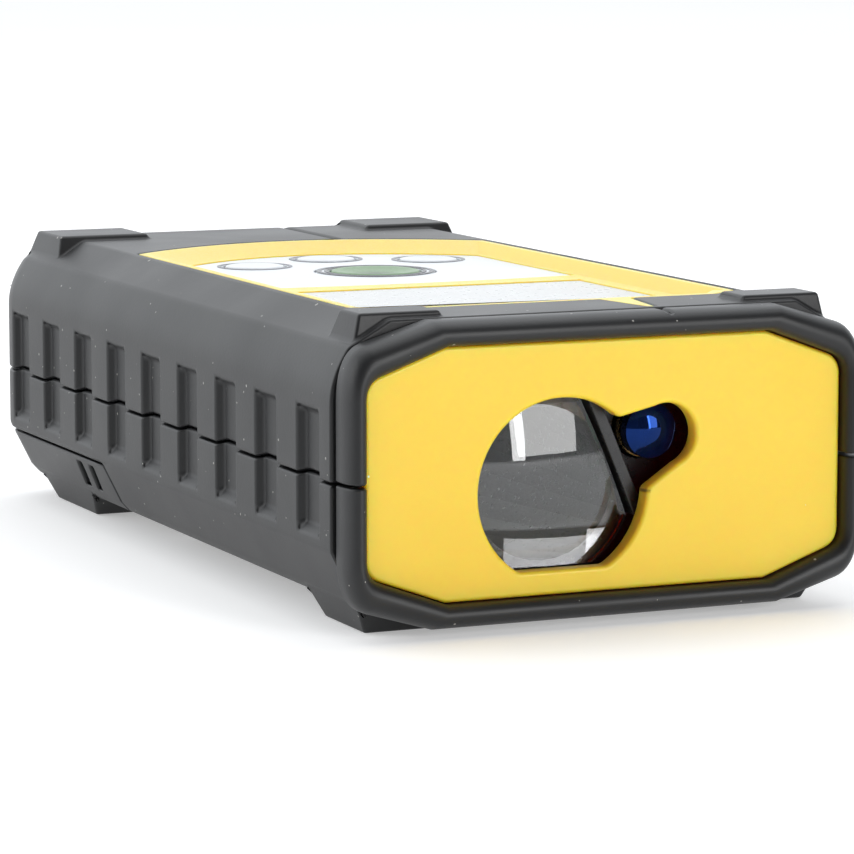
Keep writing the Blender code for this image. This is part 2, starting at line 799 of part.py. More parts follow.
def make_key(key, mat, dish):
    """Push key with a retaining flange under the top frame and a dished top."""
    name, x, y, radius = key
    low, high = FLANGE_Z
    profile = (
        (0.0, low), (radius + FLANGE_EXTRA, low), (radius + FLANGE_EXTRA, high), (radius, high),
        (radius, KEY_TOP - KEY_EDGE), (radius - KEY_EDGE, KEY_TOP), (radius * 0.5, KEY_TOP - dish * 0.75),
        (0.0, KEY_TOP - dish),
    )
    origin = (x, lie(y), low)
    return add_object(turned(profile, (x, lie(y), 0.0), steps=32), name, mat, origin, smooth=True)


def make_switch(key, mat):
    name, x, y, _ = key
    low = BOARD_Z[1] + PART_GAP
    radius, height = SWITCH
    profile = (
        (0.0, low), (radius, low), (radius, low + height), (PLUNGER_R, low + height),
        (PLUNGER_R, PLUNGER_TOP), (0.0, PLUNGER_TOP),
    )
    return add_object(turned(profile, (x, lie(y), 0.0), steps=16), f"{name}_switch", mat, smooth=True)


# ---- optics --------------------------------------------------------------


def lens_chord(start, width, half_length):
    """Corners of a bar across the large lens, on the side that faces the laser."""
    along, across = laser_directions()
    near = Vector((LENS_X, LENS_Z)) + along * start
    far = near + along * width
    reach = across * half_length
    return [tuple(point) for point in (near - reach, far - reach, far + reach, near + reach)]


def make_receiver_lens(mat):
    """Large receiver lens, domed at the front and cut flat below and beside the laser."""
    profile = [(0.0, -LENS_BULGE)]
    for i in range(1, DOME_STEPS + 1):
        t = i / DOME_STEPS
        profile.append((LENS_R * t, -LENS_BULGE + (LENS_BULGE + LENS_EDGE) * t * t))
    profile += [(LENS_R, LENS_BACK), (0.0, LENS_BACK)]
    centre = (LENS_X, lie(PANEL_THICK + LENS_SETBACK), rise(LENS_Z))
    obj = add_object(turned(profile, centre, "Y", 48), "receiver_lens", mat, smooth=True)
    foot = rise(LENS_FLAT_Z) - PART_GAP
    cut(obj, block(-BEYOND, BEYOND, -BEYOND, BEYOND, -BEYOND, foot), "lens_flat")
    cut(obj, upright(lens_chord(LENS_CHORD, BEYOND, BEYOND), -BEYOND, BEYOND), "lens_chord")
    return obj


def make_lens_retainer(mat):
    """Black bar that clamps the chord edge of the receiver lens."""
    bar = lens_chord(LENS_CHORD + PART_GAP, RETAINER_WIDTH, RETAINER_HALF)
    return add_object(upright(bar, *RETAINER_DEPTH), "lens_retainer", mat)


def make_laser_lens(mat):
    centre = (LASER_X, lie(PANEL_THICK + LASER_LENS_SETBACK), rise(LASER_Z))
    return add_object(turned(LASER_LENS_PROFILE, centre, "Y", 32), "laser_lens", mat, smooth=True)


def make_laser_module(mat):
    centre = (LASER_X, lie(0.0), rise(LASER_Z))
    return add_object(rod(LASER_TUBE_R, *LASER_TUBE, centre, "Y"), "laser_module", mat, smooth=True)


def make_optics_chassis(mat):
    """Block that holds both lenses, the laser and the receiver in line."""
    obj = add_object(block(*CHASSIS, *CHASSIS_Z), "optics_chassis", mat)
    start, end = CHASSIS[2] - PART_GAP, CHASSIS[3] + PART_GAP
    receiver = (LENS_X, lie(0.0), rise(LENS_Z))
    cut(obj, rod(TUNNEL_R, start, end, receiver, "Y", 32), "receiver_tunnel")
    laser = (LASER_X, lie(0.0), rise(LASER_Z))
    cut(obj, rod(LASER_TUBE_R + PART_GAP, start, end, laser, "Y"), "laser_tunnel")
    return obj


def make_receiver_board(mat):
    return add_object(block(*RECEIVER_BOARD, *RECEIVER_BOARD_Z), "receiver_board", mat)


def make_photodiode(mat):
    centre = (LENS_X, lie(0.0), rise(LENS_Z))
    return add_object(rod(PHOTODIODE_R, *PHOTODIODE, centre, "Y", 16), "photodiode", mat, smooth=True)


# ---- boards, battery bay and screws ---------------------------------------


def make_inner_frame(mat):
    """Hard plate under the main board, with a screw post at each corner."""
    low, high = CHASSIS_PLATE_Z
    obj = add_object(block(*FRAME_PLATE, low, high), "inner_frame", mat)
    for i, sign in enumerate((-1, 1)):
        middle = sign * SCREW_X
        arm = block(middle - FRAME_ARM_HALF, middle + FRAME_ARM_HALF, *FRAME_ARM, low, high)
        join(obj, arm, f"frame_arm_{i}")
    for i, (x, y) in enumerate(screw_places()):
        join(obj, rod(POST_R, POST_BASE, low + 0.5, (x, lie(y), 0.0), steps=20), f"post_{i}")
    for i, (x, y) in enumerate(screw_places()):
        hole = rod(SCREW_R + PART_GAP, 0.0, POST_HOLE_TOP, (x, lie(y), 0.0), steps=16)
        cut(obj, hole, f"post_hole_{i}")
    return obj


def make_screw(index, x, y, mat):
    low = SCREW_HEAD_Z
    seat = SCREW_SEAT - PART_GAP
    profile = (
        (0.0, low + SCREW_DISH), (SCREW_DISH_R, low), (SCREW_HEAD_R - SCREW_EDGE, low),
        (SCREW_HEAD_R, low + SCREW_EDGE),
        (SCREW_HEAD_R, seat), (SCREW_R, seat), (SCREW_R, SCREW_TIP_Z - 1.0),
        (SCREW_POINT_R, SCREW_TIP_Z), (0.0, SCREW_TIP_Z),
    )
    bm = turned(profile, (x, lie(y), 0.0), steps=16)
    return add_object(bm, f"case_screw_{index}", mat, smooth=True)


def make_main_board(mat):
    low, high = BOARD_Z
    return add_object(block(*MAIN_BOARD, low, high), "main_board", mat)


def make_display_module(mat):
    x0, x1, y0, y1 = DISPLAY
    inset = DISPLAY_MODULE_INSET
    bm = block(x0 + inset, x1 - inset, y0 + inset, y1 - inset, *DISPLAY_MODULE_Z)
    return add_object(bm, "display_module", mat)


def make_buzzer(mat):
    x, y = BUZZER_SPOT
    return add_object(rod(BUZZER_R, *BUZZER_Z, (x, lie(y), 0.0)), "buzzer", mat, smooth=True)


def make_processor(mat):
    return add_object(block(*PROCESSOR, BOARD_Z[1] + PART_GAP, PROCESSOR_TOP), "processor", mat)


def make_ribbon_cable(mat):
    """Flat flexible lead from the receiver board back to the main board."""
    half = RIBBON_HALF
    loops = []
    for (y_out, z_out), (y_in, z_in) in zip(RIBBON_OUTER, RIBBON_INNER):
        near = [(-half, lie(y_out), z_out), (half, lie(y_out), z_out)]
        loops.append(near + [(half, lie(y_in), z_in), (-half, lie(y_in), z_in)])
    return add_object(loft(loops), "ribbon_cable", mat)


def make_battery_tray(mat):
    x0, x1, y0, y1 = TRAY
    low, high = TRAY_Z
    wall = TRAY_WALL
    obj = add_object(block(x0, x1, y0, y1, low, high), "battery_tray", mat)
    hollow = block(x0 + wall, x1 - wall, y0 + wall, y1 - wall, low - 2.0, high - wall)
    cut(obj, hollow, "tray_hollow")
    return obj


def make_cell(name, y, sign, mat):
    """Size AAA cell lying across the body, with its nub on one end."""
    half = CELL_HALF
    profile = (
        (0.0, -half), (CELL_R - CELL_EDGE, -half), (CELL_R, -half + CELL_EDGE),
        (CELL_R, half - CELL_EDGE), (CELL_R - CELL_EDGE, half), (CELL_NUB_R, half),
        (CELL_NUB_R, half + CELL_NUB), (0.0, half + CELL_NUB),
    )
    bm = turned(profile, (0.0, 0.0, 0.0), "X", 24)
    if sign < 0:
        bmesh.ops.rotate(bm, verts=bm.verts, cent=(0, 0, 0), matrix=Matrix.Rotation(math.pi, 3, "Z"))
    bmesh.ops.translate(bm, verts=bm.verts, vec=(0.0, lie(y), CELL_Z))
    return add_object(bm, name, mat, smooth=True)


def make_contact_plate(name, x, y, mat):
    half = CONTACT_HALF
    left, right = x - CONTACT_THICK / 2, x + CONTACT_THICK / 2
    bm = block(left, right, y - half, y + half, CELL_Z - half, CELL_Z + half)
    return add_object(bm, name, mat)


def make_contact_spring(name, x, y, length, mat):
    """Coiled contact, made as one tube along a helix that narrows to the cell."""
    count = SPRING_TURNS * SPRING_STEPS
    curve = bpy.data.curves.new(name, "CURVE")
    curve.dimensions = "3D"
    curve.bevel_depth = SPRING_WIRE_R * MM
    curve.bevel_resolution = 1
    curve.use_fill_caps = True
    spline = curve.splines.new("POLY")
    spline.points.add(count)
    for i in range(count + 1):
        t = i / count
        angle = 2 * math.pi * i / SPRING_STEPS
        radius = (SPRING_BASE_R + (SPRING_TIP_R - SPRING_BASE_R) * t) * MM
        spot = (t * length * MM, radius * math.cos(angle), radius * math.sin(angle), 1.0)
        spline.points[i].co = spot
    curve.materials.append(mat)
    obj = bpy.data.objects.new(name, curve)
    obj.location = (x * MM, lie(y) * MM, CELL_Z * MM)
    bpy.context.collection.objects.link(obj)
    return obj


def make_power(mats):
    make_battery_tray(mats["black"])
    front, rear = CELL_Y
    make_cell("front_battery", front, 1, mats["cell"])
    make_cell("rear_battery", rear, -1, mats["cell"])
    inner = TRAY[1] - TRAY_WALL - CONTACT_SETBACK
    make_contact_plate("front_contact_plate", inner, front, mats["steel"])
    make_contact_plate("rear_contact_plate", -inner, rear, mats["steel"])
    reach = inner - CELL_HALF - SPRING_ROOM
    make_contact_spring("front_contact_spring", -inner, front, reach, mats["steel"])
    make_contact_spring("rear_contact_spring", inner, rear, -reach, mats["steel"])


def make_case(mats):
    make_upper_overmold(mats["rubber"])
    make_lower_overmold(mats["rubber"])
    make_battery_cover(mats["rubber"])
    make_hoop("upper_front_hoop", mats["rubber"], True)
    make_hoop("lower_front_hoop", mats["rubber"], False)
    make_front_panel(mats["yellow"])


def make_controls(mats):
    make_top_frame(mats["yellow"])
    make_display_window(mats["display"])
    make_keypad_label(mats["white"])
    make_button_ring(mats["grey"])
    make_key(MEASURE_KEY, mats["green"], MEASURE_KEY_DISH)
    for key in SMALL_KEYS:
        make_key(key, mats["white"], SMALL_KEY_DISH)
    for key in (MEASURE_KEY, *SMALL_KEYS):
        make_switch(key, mats["steel"])


def make_optics(mats):
    make_receiver_lens(mats["glass"])
    make_lens_retainer(mats["black"])
    make_laser_lens(mats["blue"])
    make_laser_module(mats["brass"])
    make_optics_chassis(mats["black"])
    make_receiver_board(mats["board"])
    make_photodiode(mats["steel"])


def make_electronics(mats):
    make_inner_frame(mats["black"])
    make_main_board(mats["board"])
    make_display_module(mats["grey"])
    make_buzzer(mats["black"])
    make_processor(mats["black"])
    make_ribbon_cable(mats["brass"])
    for index, (x, y) in enumerate(screw_places(), start=1):
        make_screw(index, x, y, mats["steel"])


def main():
    clear_scene()
    mats = make_materials()
    make_case(mats)
    make_controls(mats)
    make_optics(mats)
    make_electronics(mats)
    make_power(mats)


main()
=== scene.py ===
"""Looks of the laser distance meter: fine outer shells, optics and keypad, materials and studio.

Lengths are in millimetres and turned into metres by MM. Distances along the body are counted
from the front face of the yellow panel, as lie() shows, and heights from the optic height.
"""
import math

import bmesh
import bpy
from mathutils import Matrix, Vector


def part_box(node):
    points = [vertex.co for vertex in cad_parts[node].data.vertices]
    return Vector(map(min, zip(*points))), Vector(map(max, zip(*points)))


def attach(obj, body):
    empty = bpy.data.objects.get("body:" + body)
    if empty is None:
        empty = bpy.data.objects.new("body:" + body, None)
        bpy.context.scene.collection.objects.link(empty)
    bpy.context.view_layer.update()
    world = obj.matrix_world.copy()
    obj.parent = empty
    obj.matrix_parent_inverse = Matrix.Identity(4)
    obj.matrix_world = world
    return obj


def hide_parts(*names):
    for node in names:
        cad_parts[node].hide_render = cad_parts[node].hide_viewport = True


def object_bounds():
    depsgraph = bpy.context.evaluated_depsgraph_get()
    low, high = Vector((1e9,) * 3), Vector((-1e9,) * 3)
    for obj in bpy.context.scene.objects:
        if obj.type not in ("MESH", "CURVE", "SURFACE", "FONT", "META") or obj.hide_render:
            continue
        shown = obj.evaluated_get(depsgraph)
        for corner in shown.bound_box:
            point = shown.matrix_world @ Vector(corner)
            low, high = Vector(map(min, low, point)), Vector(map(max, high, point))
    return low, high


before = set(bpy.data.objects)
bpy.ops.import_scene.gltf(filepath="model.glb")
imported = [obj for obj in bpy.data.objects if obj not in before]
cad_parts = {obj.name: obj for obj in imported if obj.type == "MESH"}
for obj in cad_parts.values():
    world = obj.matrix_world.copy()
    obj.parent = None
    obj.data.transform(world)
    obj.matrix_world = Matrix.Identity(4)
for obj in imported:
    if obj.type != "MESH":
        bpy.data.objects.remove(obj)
CAD_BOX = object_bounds()
MM = 0.001

# The frame's own measures
PANEL_FACE_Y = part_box("front_panel")[0][1] / MM
HEIGHT = CAD_BOX[1][2] / MM
OPTIC_Z = HEIGHT / 2
ABOVE = HEIGHT + 3.0
BEYOND = 40.0
BODY_END = CAD_BOX[1][1] / MM - PANEL_FACE_Y
BODY_HALF_WIDTH = CAD_BOX[1][0] / MM
HOOP_REACH = PANEL_FACE_Y - CAD_BOX[0][1] / MM
FRAME_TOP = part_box("top_frame")[1][2] / MM
LABEL_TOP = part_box("keypad_label")[1][2] / MM

# Sleeve section
PARTING = -0.4
PART_GAP = 0.3
VISIBLE_GAP = 0.12
PARTING_STEP = 0.16
CREASE = 7.5
SHOULDER_FOOT_X = 27.8
SHOULDER_FOOT_Z = 13.3
RIM_X = 23.3
RIM_Z = 15.85
BELLY_X = 27.3
BELLY_Z = -12.7
BELLY_TUCK = (1.0, 1.1)
FLAT_BOTTOM_X = 25.0
FLAT_BOTTOM_Z = -14.3
SHOULDER_STEPS = 12
SLEEVE_START = 2.6
END_ROUNDING = (
    (106.6, 0.0), (107.6, 0.08), (108.6, 0.3), (109.5, 0.65), (110.2, 1.1),
    (110.8, 1.75), (111.2, 2.5), (BODY_END, 3.4),
)

# Corner bumpers and feet: (inner x, outer x, front, rear) of the small face, then how far
# the wide face reaches beyond it inward, outward, forward and back
BUMPER_BASE = 26.0
FRONT_BUMPER = ((17.4, 26.4, 3.5, 8.6), (2.6, 1.6, 0.7, 3.4))
REAR_BUMPER = ((14.8, 26.0, 98.6, 107.6), (4.6, 2.0, 3.6, 3.0))
FOOT_TOP = 3.6
FRONT_FOOT = ((13.0, 25.4, 4.6, 15.0), (2.0, 1.6, 1.6, 2.2))
REAR_FOOT = ((13.0, 25.4, 88.0, 102.5), (2.0, 1.6, 3.0, 2.2))

# Sighting notches in the front hoop and the rear strip, half width and half depth
HOOP_NOTCH = (0.9, 0.6)
REAR_NOTCH = (1.1, 0.75)

# Grip grooves
GROOVE_COUNT = 9
GROOVE_FIRST = 8.7
GROOVE_PITCH = 11.78
GROOVE_WIDTH = 6.0
GROOVE_SLOPE = 0.6
GROOVE_DEPTH = 0.9
GROOVE_TOP = 6.7
GROOVE_BOTTOM = -6.5
GROOVE_SILL = 1.0

# Hollow
CAVITY_X = 27.3
CAVITY_START = 1.6
CAVITY_END = 108.4
ROOF = 13.5
CAVITY_ROOF_X = 23.0
FLOOR = -12.0
CAVITY_FLOOR_X = 24.4
CAVITY_HAUNCH = 8.0
CAVITY_HIP = -7.4
CAVITY_PAST = 3.0

# Front
PANEL_HALF_WIDTH = 27.2
PANEL_TOP_X = 18.3
PANEL_HALF_HEIGHT = 13.1
PANEL_SIDE_Z = 9.86
PANEL_THICK = 2.2
PANEL_ROUNDING = 0.18
CORNER_GROWTH = 0.4
HOOP_BACK = 2.3
HOOP_OUTER_X = 29.5
HOOP_OUTER_TOP_X = 19.8
HOOP_OUTER_TOP = 15.8
HOOP_SHOULDER = ((26.9, 13.7), (29.4, 12.9), (HOOP_OUTER_X, 8.0))
LENS_X = -5.05
LENS_Z = -2.35
LENS_OPENING_R = 9.6
LENS_FLAT_Z = -10.55
LENS_CHORD = 6.9
LENS_R = LENS_OPENING_R + 0.3
LENS_BULGE = 1.0
LENS_EDGE = 0.3
LENS_BACK = 2.6
LENS_SETBACK = 1.6
LENS_FLAT_GAP = 0.2
RETAINER_HALF = 7.0
RETAINER_WIDTH = 1.3
RETAINER_DEPTH = (2.7, 6.1)
LASER_LENS_R = 2.9
LASER_LENS_BULGE = 0.7
LASER_LENS_EDGE = 0.2
LASER_LENS_BACK = 1.6
LASER_LENS_SETBACK = 1.4
LASER_X = 6.8
LASER_Z = 2.75
LASER_OPENING_R = 3.35
THROAT_LENGTH = 7.0
THROAT_HALF_WIDTH = 4.6

# Top
WINDOW_X = 22.6
WINDOW_FRONT = 12.1
WINDOW_FRONT_CORNER = (18.5, 15.0)
WINDOW_REAR_CORNER_Y = 80.2
WINDOW_REAR_ARCH = 9.1
ARCH_STEPS = 10
FRAME_BASE = 28.9
POCKET_FLOOR = 29.9
DISH_FLOOR = LABEL_TOP + 0.12
LABEL_BASE = 30.2
TONGUE_BASE = 30.5
TONGUE_ROOT_HALF = 2.0
TONGUE_TIP_HALF = 0.4
DISPLAY_LIP = 2.5
DISPLAY = (-17.4, 17.4, 18.8, 42.6)
LABEL_X = 19.2
LABEL_NEAR = 47.6
LABEL_NEAR_BOW = 1.2
LABEL_CORNER_Y = 74.6
LABEL_ARCH = 8.6
RIM_WIDTH = 0.75
DISH_X = 19.6
DISH_FRONT = 17.2
KEY_CLEARANCE = 0.35
FLANGE_Z = (28.0, 28.6)
FLANGE_EXTRA = 0.8
RING_WIDTH = 1.75
RING_HOLE = 2.0
# Rings on the keypad, from the key's edge, and their height above the film: printed rings around the
# small keys, two dark bands on the measure key's collar
BAND_BASE = 0.01
COLLAR_RING_TOP = 0.07
KEY_PRINT_TOP = 0.06
COLLAR_DARK_RINGS = (("ring_inner", 0.42, 0.8), ("ring_outer", 1.15, 1.72))
KEY_PRINT = (0.5, 0.95)
MEASURE_KEY = ("measure_button", 0.3, 62.0, 5.2)
SMALL_KEYS = (
    ("clear_key", -10.6, 72.8, 3.5),
    ("unit_key", 0.6, 78.0, 3.5),
    ("function_key", 11.8, 72.8, 3.5),
)
KEY_TOP = 31.15
MEASURE_KEY_DISH = 0.5
SMALL_KEY_DISH = 0.2
COVER_START = 73.7
COVER_TOP = -8.0
STRAP_SLOTS = (78.3, 82.6)
STRAP_SLOT_Z = (-9.1, -12.2)
STRAP_SLOT_WIDTH = 1.9
STRAP_SLOT_SLANT = 1.1
STRAP_SLOT_REACH = 4.0
SCREW_X = 19.5
SCREW_Y = (24.0, 68.0)
SCREW_HEAD_HOLE = (2.6, 3.9)
SCREW_SHANK_HOLE = (1.4, 12.0)

# Camera and studio
CAMERA_SPOT = (-178.5, -413.6, 75.8)
CAMERA_TURN = (82.13, 0.0, -23.78)
CAMERA_LENS = 165.65
FLOOR_HALF = 9000.0
FLOOR_GLOW = 0.36
WORLD_DARK = 0.03
WORLD_LIGHT = 1.75
# Where the world turns from dark to light, by the Y of the direction
WORLD_FADE = (-0.2, 0.45)
# name, place and size in metres, power in watts
LIGHTS = (
    ("left_box", (-1.1, 0.35, 0.45), (0.7, 0.7), 2.6),
    ("top_box", (0.0, 0.15, 1.1), (1.2, 1.0), 3.7),
    ("front_box", (0.46, -1.10, 0.36), (0.46, 0.66), 6.2),
    ("front_strip", (0.19, -0.86, 0.23), (0.07, 0.44), 1.1),
)


def lie(distance):
    return distance + PANEL_FACE_Y


def rise(height):
    return height + OPTIC_Z


# ---- materials -----------------------------------------------------------


class Nodes:
    """Small helper that adds and links shader nodes of one material."""

    def __init__(self, name):
        self.material = bpy.data.materials.new(name)
        self.material.use_nodes = True
        self.tree = self.material.node_tree
        self.shader = self.tree.nodes["Principled BSDF"]

    def add(self, kind, **values):
        node = self.tree.nodes.new(kind)
        for key, value in values.items():
            if hasattr(node, key):
                setattr(node, key, value)
            else:
                node.inputs[key].default_value = value
        return node

    def link(self, out, into):
        self.tree.links.new(out, into)

    def set(self, **values):
        for key, value in values.items():
            self.shader.inputs[key.replace("_", " ")].default_value = value

    def place(self):
        return self.add("ShaderNodeTexCoord").outputs["Object"]

    def noise(self, scale, detail=4.0, roughness=0.5):
        node = self.add("ShaderNodeTexNoise")
        node.inputs["Scale"].default_value = scale
        node.inputs["Detail"].default_value = detail
        node.inputs["Roughness"].default_value = roughness
        self.link(self.place(), node.inputs["Vector"])
        return node.outputs["Fac"]

    def math(self, operation, first, second=0.0, third=0.0):
        node = self.add("ShaderNodeMath", operation=operation)
        for socket, value in zip(node.inputs, (first, second, third)):
            if isinstance(value, (int, float)):
                socket.default_value = value
            else:
                self.link(value, socket)
        return node.outputs[0]

    def ramp(self, value, low, high, out_low=0.0, out_high=1.0):
        node = self.add("ShaderNodeMapRange")
        self.link(value, node.inputs["Value"])
        node.inputs["From Min"].default_value = low
        node.inputs["From Max"].default_value = high
        node.inputs["To Min"].default_value = out_low
        node.inputs["To Max"].default_value = out_high
        return node.outputs["Result"]

    def mix(self, factor, first, second):
        node = self.add("ShaderNodeMix", data_type="RGBA")
        self.link(factor, node.inputs["Factor"])
        for socket, value in ((node.inputs[6], first), (node.inputs[7], second)):
            if isinstance(value, tuple):
                socket.default_value = (*value, 1.0)
            else:
                self.link(value, socket)
        return node.outputs[2]

    def bump(self, height, strength, distance):
        node = self.add("ShaderNodeBump")
        node.inputs["Strength"].default_value = strength
        node.inputs["Distance"].default_value = distance
        self.link(height, node.inputs["Height"])
        self.link(node.outputs["Normal"], self.shader.inputs["Normal"])

    def colour(self, socket):
        self.link(socket, self.shader.inputs["Base Color"])

    def rough(self, socket):
        self.link(socket, self.shader.inputs["Roughness"])


def dust_mask(n, scale, size, share):
    """Sparse round specks of lint, one in some cells of a cell pattern."""
    cell = n.add("ShaderNodeTexVoronoi")
    cell.inputs["Scale"].default_value = scale
    n.link(n.place(), cell.inputs["Vector"])
    split = n.add("ShaderNodeSeparateColor")
    n.link(cell.outputs["Color"], split.inputs["Color"])
    reach = n.math("MULTIPLY", split.outputs["Green"], size)
    near = n.math("LESS_THAN", cell.outputs["Distance"], reach)
    chosen = n.math("LESS_THAN", split.outputs["Red"], share)
    return n.math("MULTIPLY", near, chosen)


def rubber_material():
    n = Nodes("soft_rubber")
    broad = n.noise(60.0, 5.0)
    fine = n.noise(5200.0, 3.0, 0.6)
    grain = n.noise(2300.0, 4.0, 0.55)
    base = n.mix(n.ramp(broad, 0.3, 0.7), (0.0075, 0.0078, 0.0085), (0.0125, 0.0130, 0.0142))
    specks = n.math("MAXIMUM", dust_mask(n, 420.0, 0.11, 0.16), dust_mask(n, 1000.0, 0.15, 0.10))
    n.colour(n.mix(specks, base, (0.30, 0.29, 0.27)))
    n.rough(n.ramp(broad, 0.2, 0.8, 0.40, 0.52))
    n.set(Specular_IOR_Level=0.45)
    relief = n.math("ADD", n.math("MULTIPLY", fine, 0.5), grain)
    n.bump(n.math("ADD", relief, n.math("MULTIPLY", specks, 1.5)), 0.25, 0.00005)
    return n.material


def yellow_material():
    n = Nodes("satin_yellow")
    broad = n.noise(45.0, 3.0)
    fine = n.noise(3600.0, 3.0)
    base = n.mix(n.ramp(broad, 0.3, 0.7), (0.930, 0.620, 0.043), (0.945, 0.640, 0.052))
    specks = dust_mask(n, 260.0, 0.04, 0.06)
    n.colour(n.mix(specks, base, (0.95, 0.90, 0.78)))
    n.rough(n.ramp(fine, 0.3, 0.7, 0.33, 0.40))
    n.set(Specular_IOR_Level=0.42, Subsurface_Weight=0.75, Subsurface_Scale=0.0022)
    n.shader.inputs["Subsurface Radius"].default_value = (1.0, 0.45, 0.08)
    n.bump(fine, 0.10, 0.00004)
    return n.material


def plastic_material(name, low, high, roughness, grain=2400.0, bump=0.12):
    n = Nodes(name)
    n.colour(n.mix(n.ramp(n.noise(140.0, 4.0), 0.3, 0.7), low, high))
    fine = n.noise(grain, 3.0)
    n.rough(n.ramp(fine, 0.3, 0.7, roughness - 0.04, roughness + 0.05))
    n.bump(fine, bump, 0.00004)
    return n.material


def label_material():
    n = Nodes("keypad_film")
    n.colour(n.mix(n.ramp(n.noise(80.0, 3.0), 0.3, 0.7), (0.64, 0.67, 0.71), (0.70, 0.73, 0.76)))
    fine = n.noise(3000.0, 2.0)
    n.rough(n.ramp(fine, 0.3, 0.7, 0.30, 0.36))
    n.bump(fine, 0.06, 0.00003)
    return n.material


def display_material():
    """Smooth grey window, almost without grain."""
    low, high = (0.50, 0.51, 0.51), (0.52, 0.53, 0.53)
    return plastic_material("display_grey", low, high, 0.30, 1200.0, 0.01)


def green_material(centre):
    """Satin green, darker towards the middle of the dish."""
    n = Nodes("green_key")
    shift = n.add("ShaderNodeVectorMath", operation="SUBTRACT")
    n.link(n.place(), shift.inputs[0])
    shift.inputs[1].default_value = centre
    length = n.add("ShaderNodeVectorMath", operation="LENGTH")
    n.link(shift.outputs["Vector"], length.inputs[0])
    spread = n.ramp(length.outputs["Value"], 0.0004, 0.0030)
    wobble = n.math("ADD", spread, n.ramp(n.noise(700.0, 3.0), 0.3, 0.7, -0.10, 0.10))
    clamp = n.add("ShaderNodeClamp")
    n.link(wobble, clamp.inputs["Value"])
    n.colour(n.mix(clamp.outputs["Result"], (0.040, 0.080, 0.040), (0.15, 0.28, 0.125)))
    fine = n.noise(2600.0, 2.0)
    n.rough(n.ramp(fine, 0.3, 0.7, 0.36, 0.44))
    n.bump(fine, 0.08, 0.00003)
    return n.material


def glass_material(name, colour, ior, roughness=0.0, transmission=1.0, coat=0.0):
    n = Nodes(name)
    n.set(Transmission_Weight=transmission, IOR=ior, Coat_Weight=coat)
    tint = n.mix(n.ramp(n.noise(90.0, 2.0), 0.3, 0.7), colour, tuple(c * 0.96 for c in colour))
    n.colour(tint)
    n.rough(n.ramp(n.noise(900.0, 2.0), 0.4, 0.8, roughness, roughness + 0.012))
    return n.material


def coated_material():
    """Dark glass whose coating reflects deep blue."""
    n = Nodes("coated_glass")
    n.colour(n.mix(n.ramp(n.noise(260.0, 2.0), 0.35, 0.65), (0.002, 0.005, 0.022), (0.004, 0.012, 0.060)))
    n.rough(n.ramp(n.noise(900.0, 2.0), 0.4, 0.8, 0.02, 0.05))
    n.set(IOR=1.7, Specular_IOR_Level=0.9)
    n.shader.inputs["Specular Tint"].default_value = (0.05, 0.16, 0.75, 1.0)
    return n.material


def metal_material(name, low, high, roughness):
    n = Nodes(name)
    n.set(Metallic=1.0)
    n.colour(n.mix(n.ramp(n.noise(500.0, 4.0), 0.3, 0.7), low, high))
    fine = n.noise(1800.0, 4.0)
    n.rough(n.ramp(fine, 0.3, 0.7, roughness - 0.06, roughness + 0.06))
    n.bump(fine, 0.1, 0.00003)
    return n.material


def board_material():
    n = Nodes("circuit_board")
    cell = n.add("ShaderNodeTexVoronoi", distance="MANHATTAN")
    cell.inputs["Scale"].default_value = 380.0
    n.link(n.place(), cell.inputs["Vector"])
    traces = n.ramp(cell.outputs["Distance"], 0.28, 0.32)
    n.colour(n.mix(traces, (0.012, 0.16, 0.05), (0.02, 0.24, 0.09)))
    n.rough(n.ramp(n.noise(700.0), 0.3, 0.7, 0.3, 0.42))
    n.bump(traces, 0.15, 0.00004)
    return n.material


def make_materials():
    button = (MEASURE_KEY[1] * MM, lie(MEASURE_KEY[2]) * MM, (KEY_TOP - 0.4) * MM)
    return {
        "rubber": rubber_material(),
        "yellow": yellow_material(),
        "black": plastic_material("black_plastic", (0.006, 0.006, 0.007), (0.011, 0.011, 0.012), 0.30),
        "white": label_material(),
        "green": green_material(button),
        "grey": plastic_material("grey_print", (0.16, 0.17, 0.21), (0.20, 0.21, 0.25), 0.40),
        "dark_ring": plastic_material("dark_ring", (0.05, 0.055, 0.075), (0.07, 0.075, 0.095), 0.35),
        "display": display_material(),
        "glass": glass_material("lens_glass", (0.97, 0.98, 0.99), 1.62),
        "blue": coated_material(),
        "board": board_material(),
        "steel": metal_material("plated_steel", (0.52, 0.53, 0.55), (0.66, 0.67, 0.69), 0.28),
        "brass": metal_material("turned_brass", (0.62, 0.42, 0.16), (0.75, 0.55, 0.24), 0.26),
        "ribbon": plastic_material("ribbon", (0.50, 0.26, 0.05), (0.58, 0.33, 0.08), 0.35),
        "cell": plastic_material("cell_sleeve", (0.05, 0.05, 0.07), (0.08, 0.08, 0.10), 0.30),
    }


# ---- mesh helpers --------------------------------------------------------


def raw_object(bm, name):
    """Object in metres from a bmesh in millimetres."""
    bmesh.ops.recalc_face_normals(bm, faces=bm.faces)
    bmesh.ops.scale(bm, verts=bm.verts, vec=(MM, MM, MM))
    mesh = bpy.data.meshes.new(name)
    bm.to_mesh(mesh)
    bm.free()
    obj = bpy.data.objects.new(name, mesh)
    bpy.context.scene.collection.objects.link(obj)
    return obj


def bake_modifiers(obj):
    """Keep the object's evaluated mesh and drop its modifiers."""
    bpy.context.view_layer.update()
    graph = bpy.context.evaluated_depsgraph_get()
    mesh = bpy.data.meshes.new_from_object(obj.evaluated_get(graph))
    obj.modifiers.clear()
    old = obj.data
    obj.data = mesh
    bpy.data.meshes.remove(old)


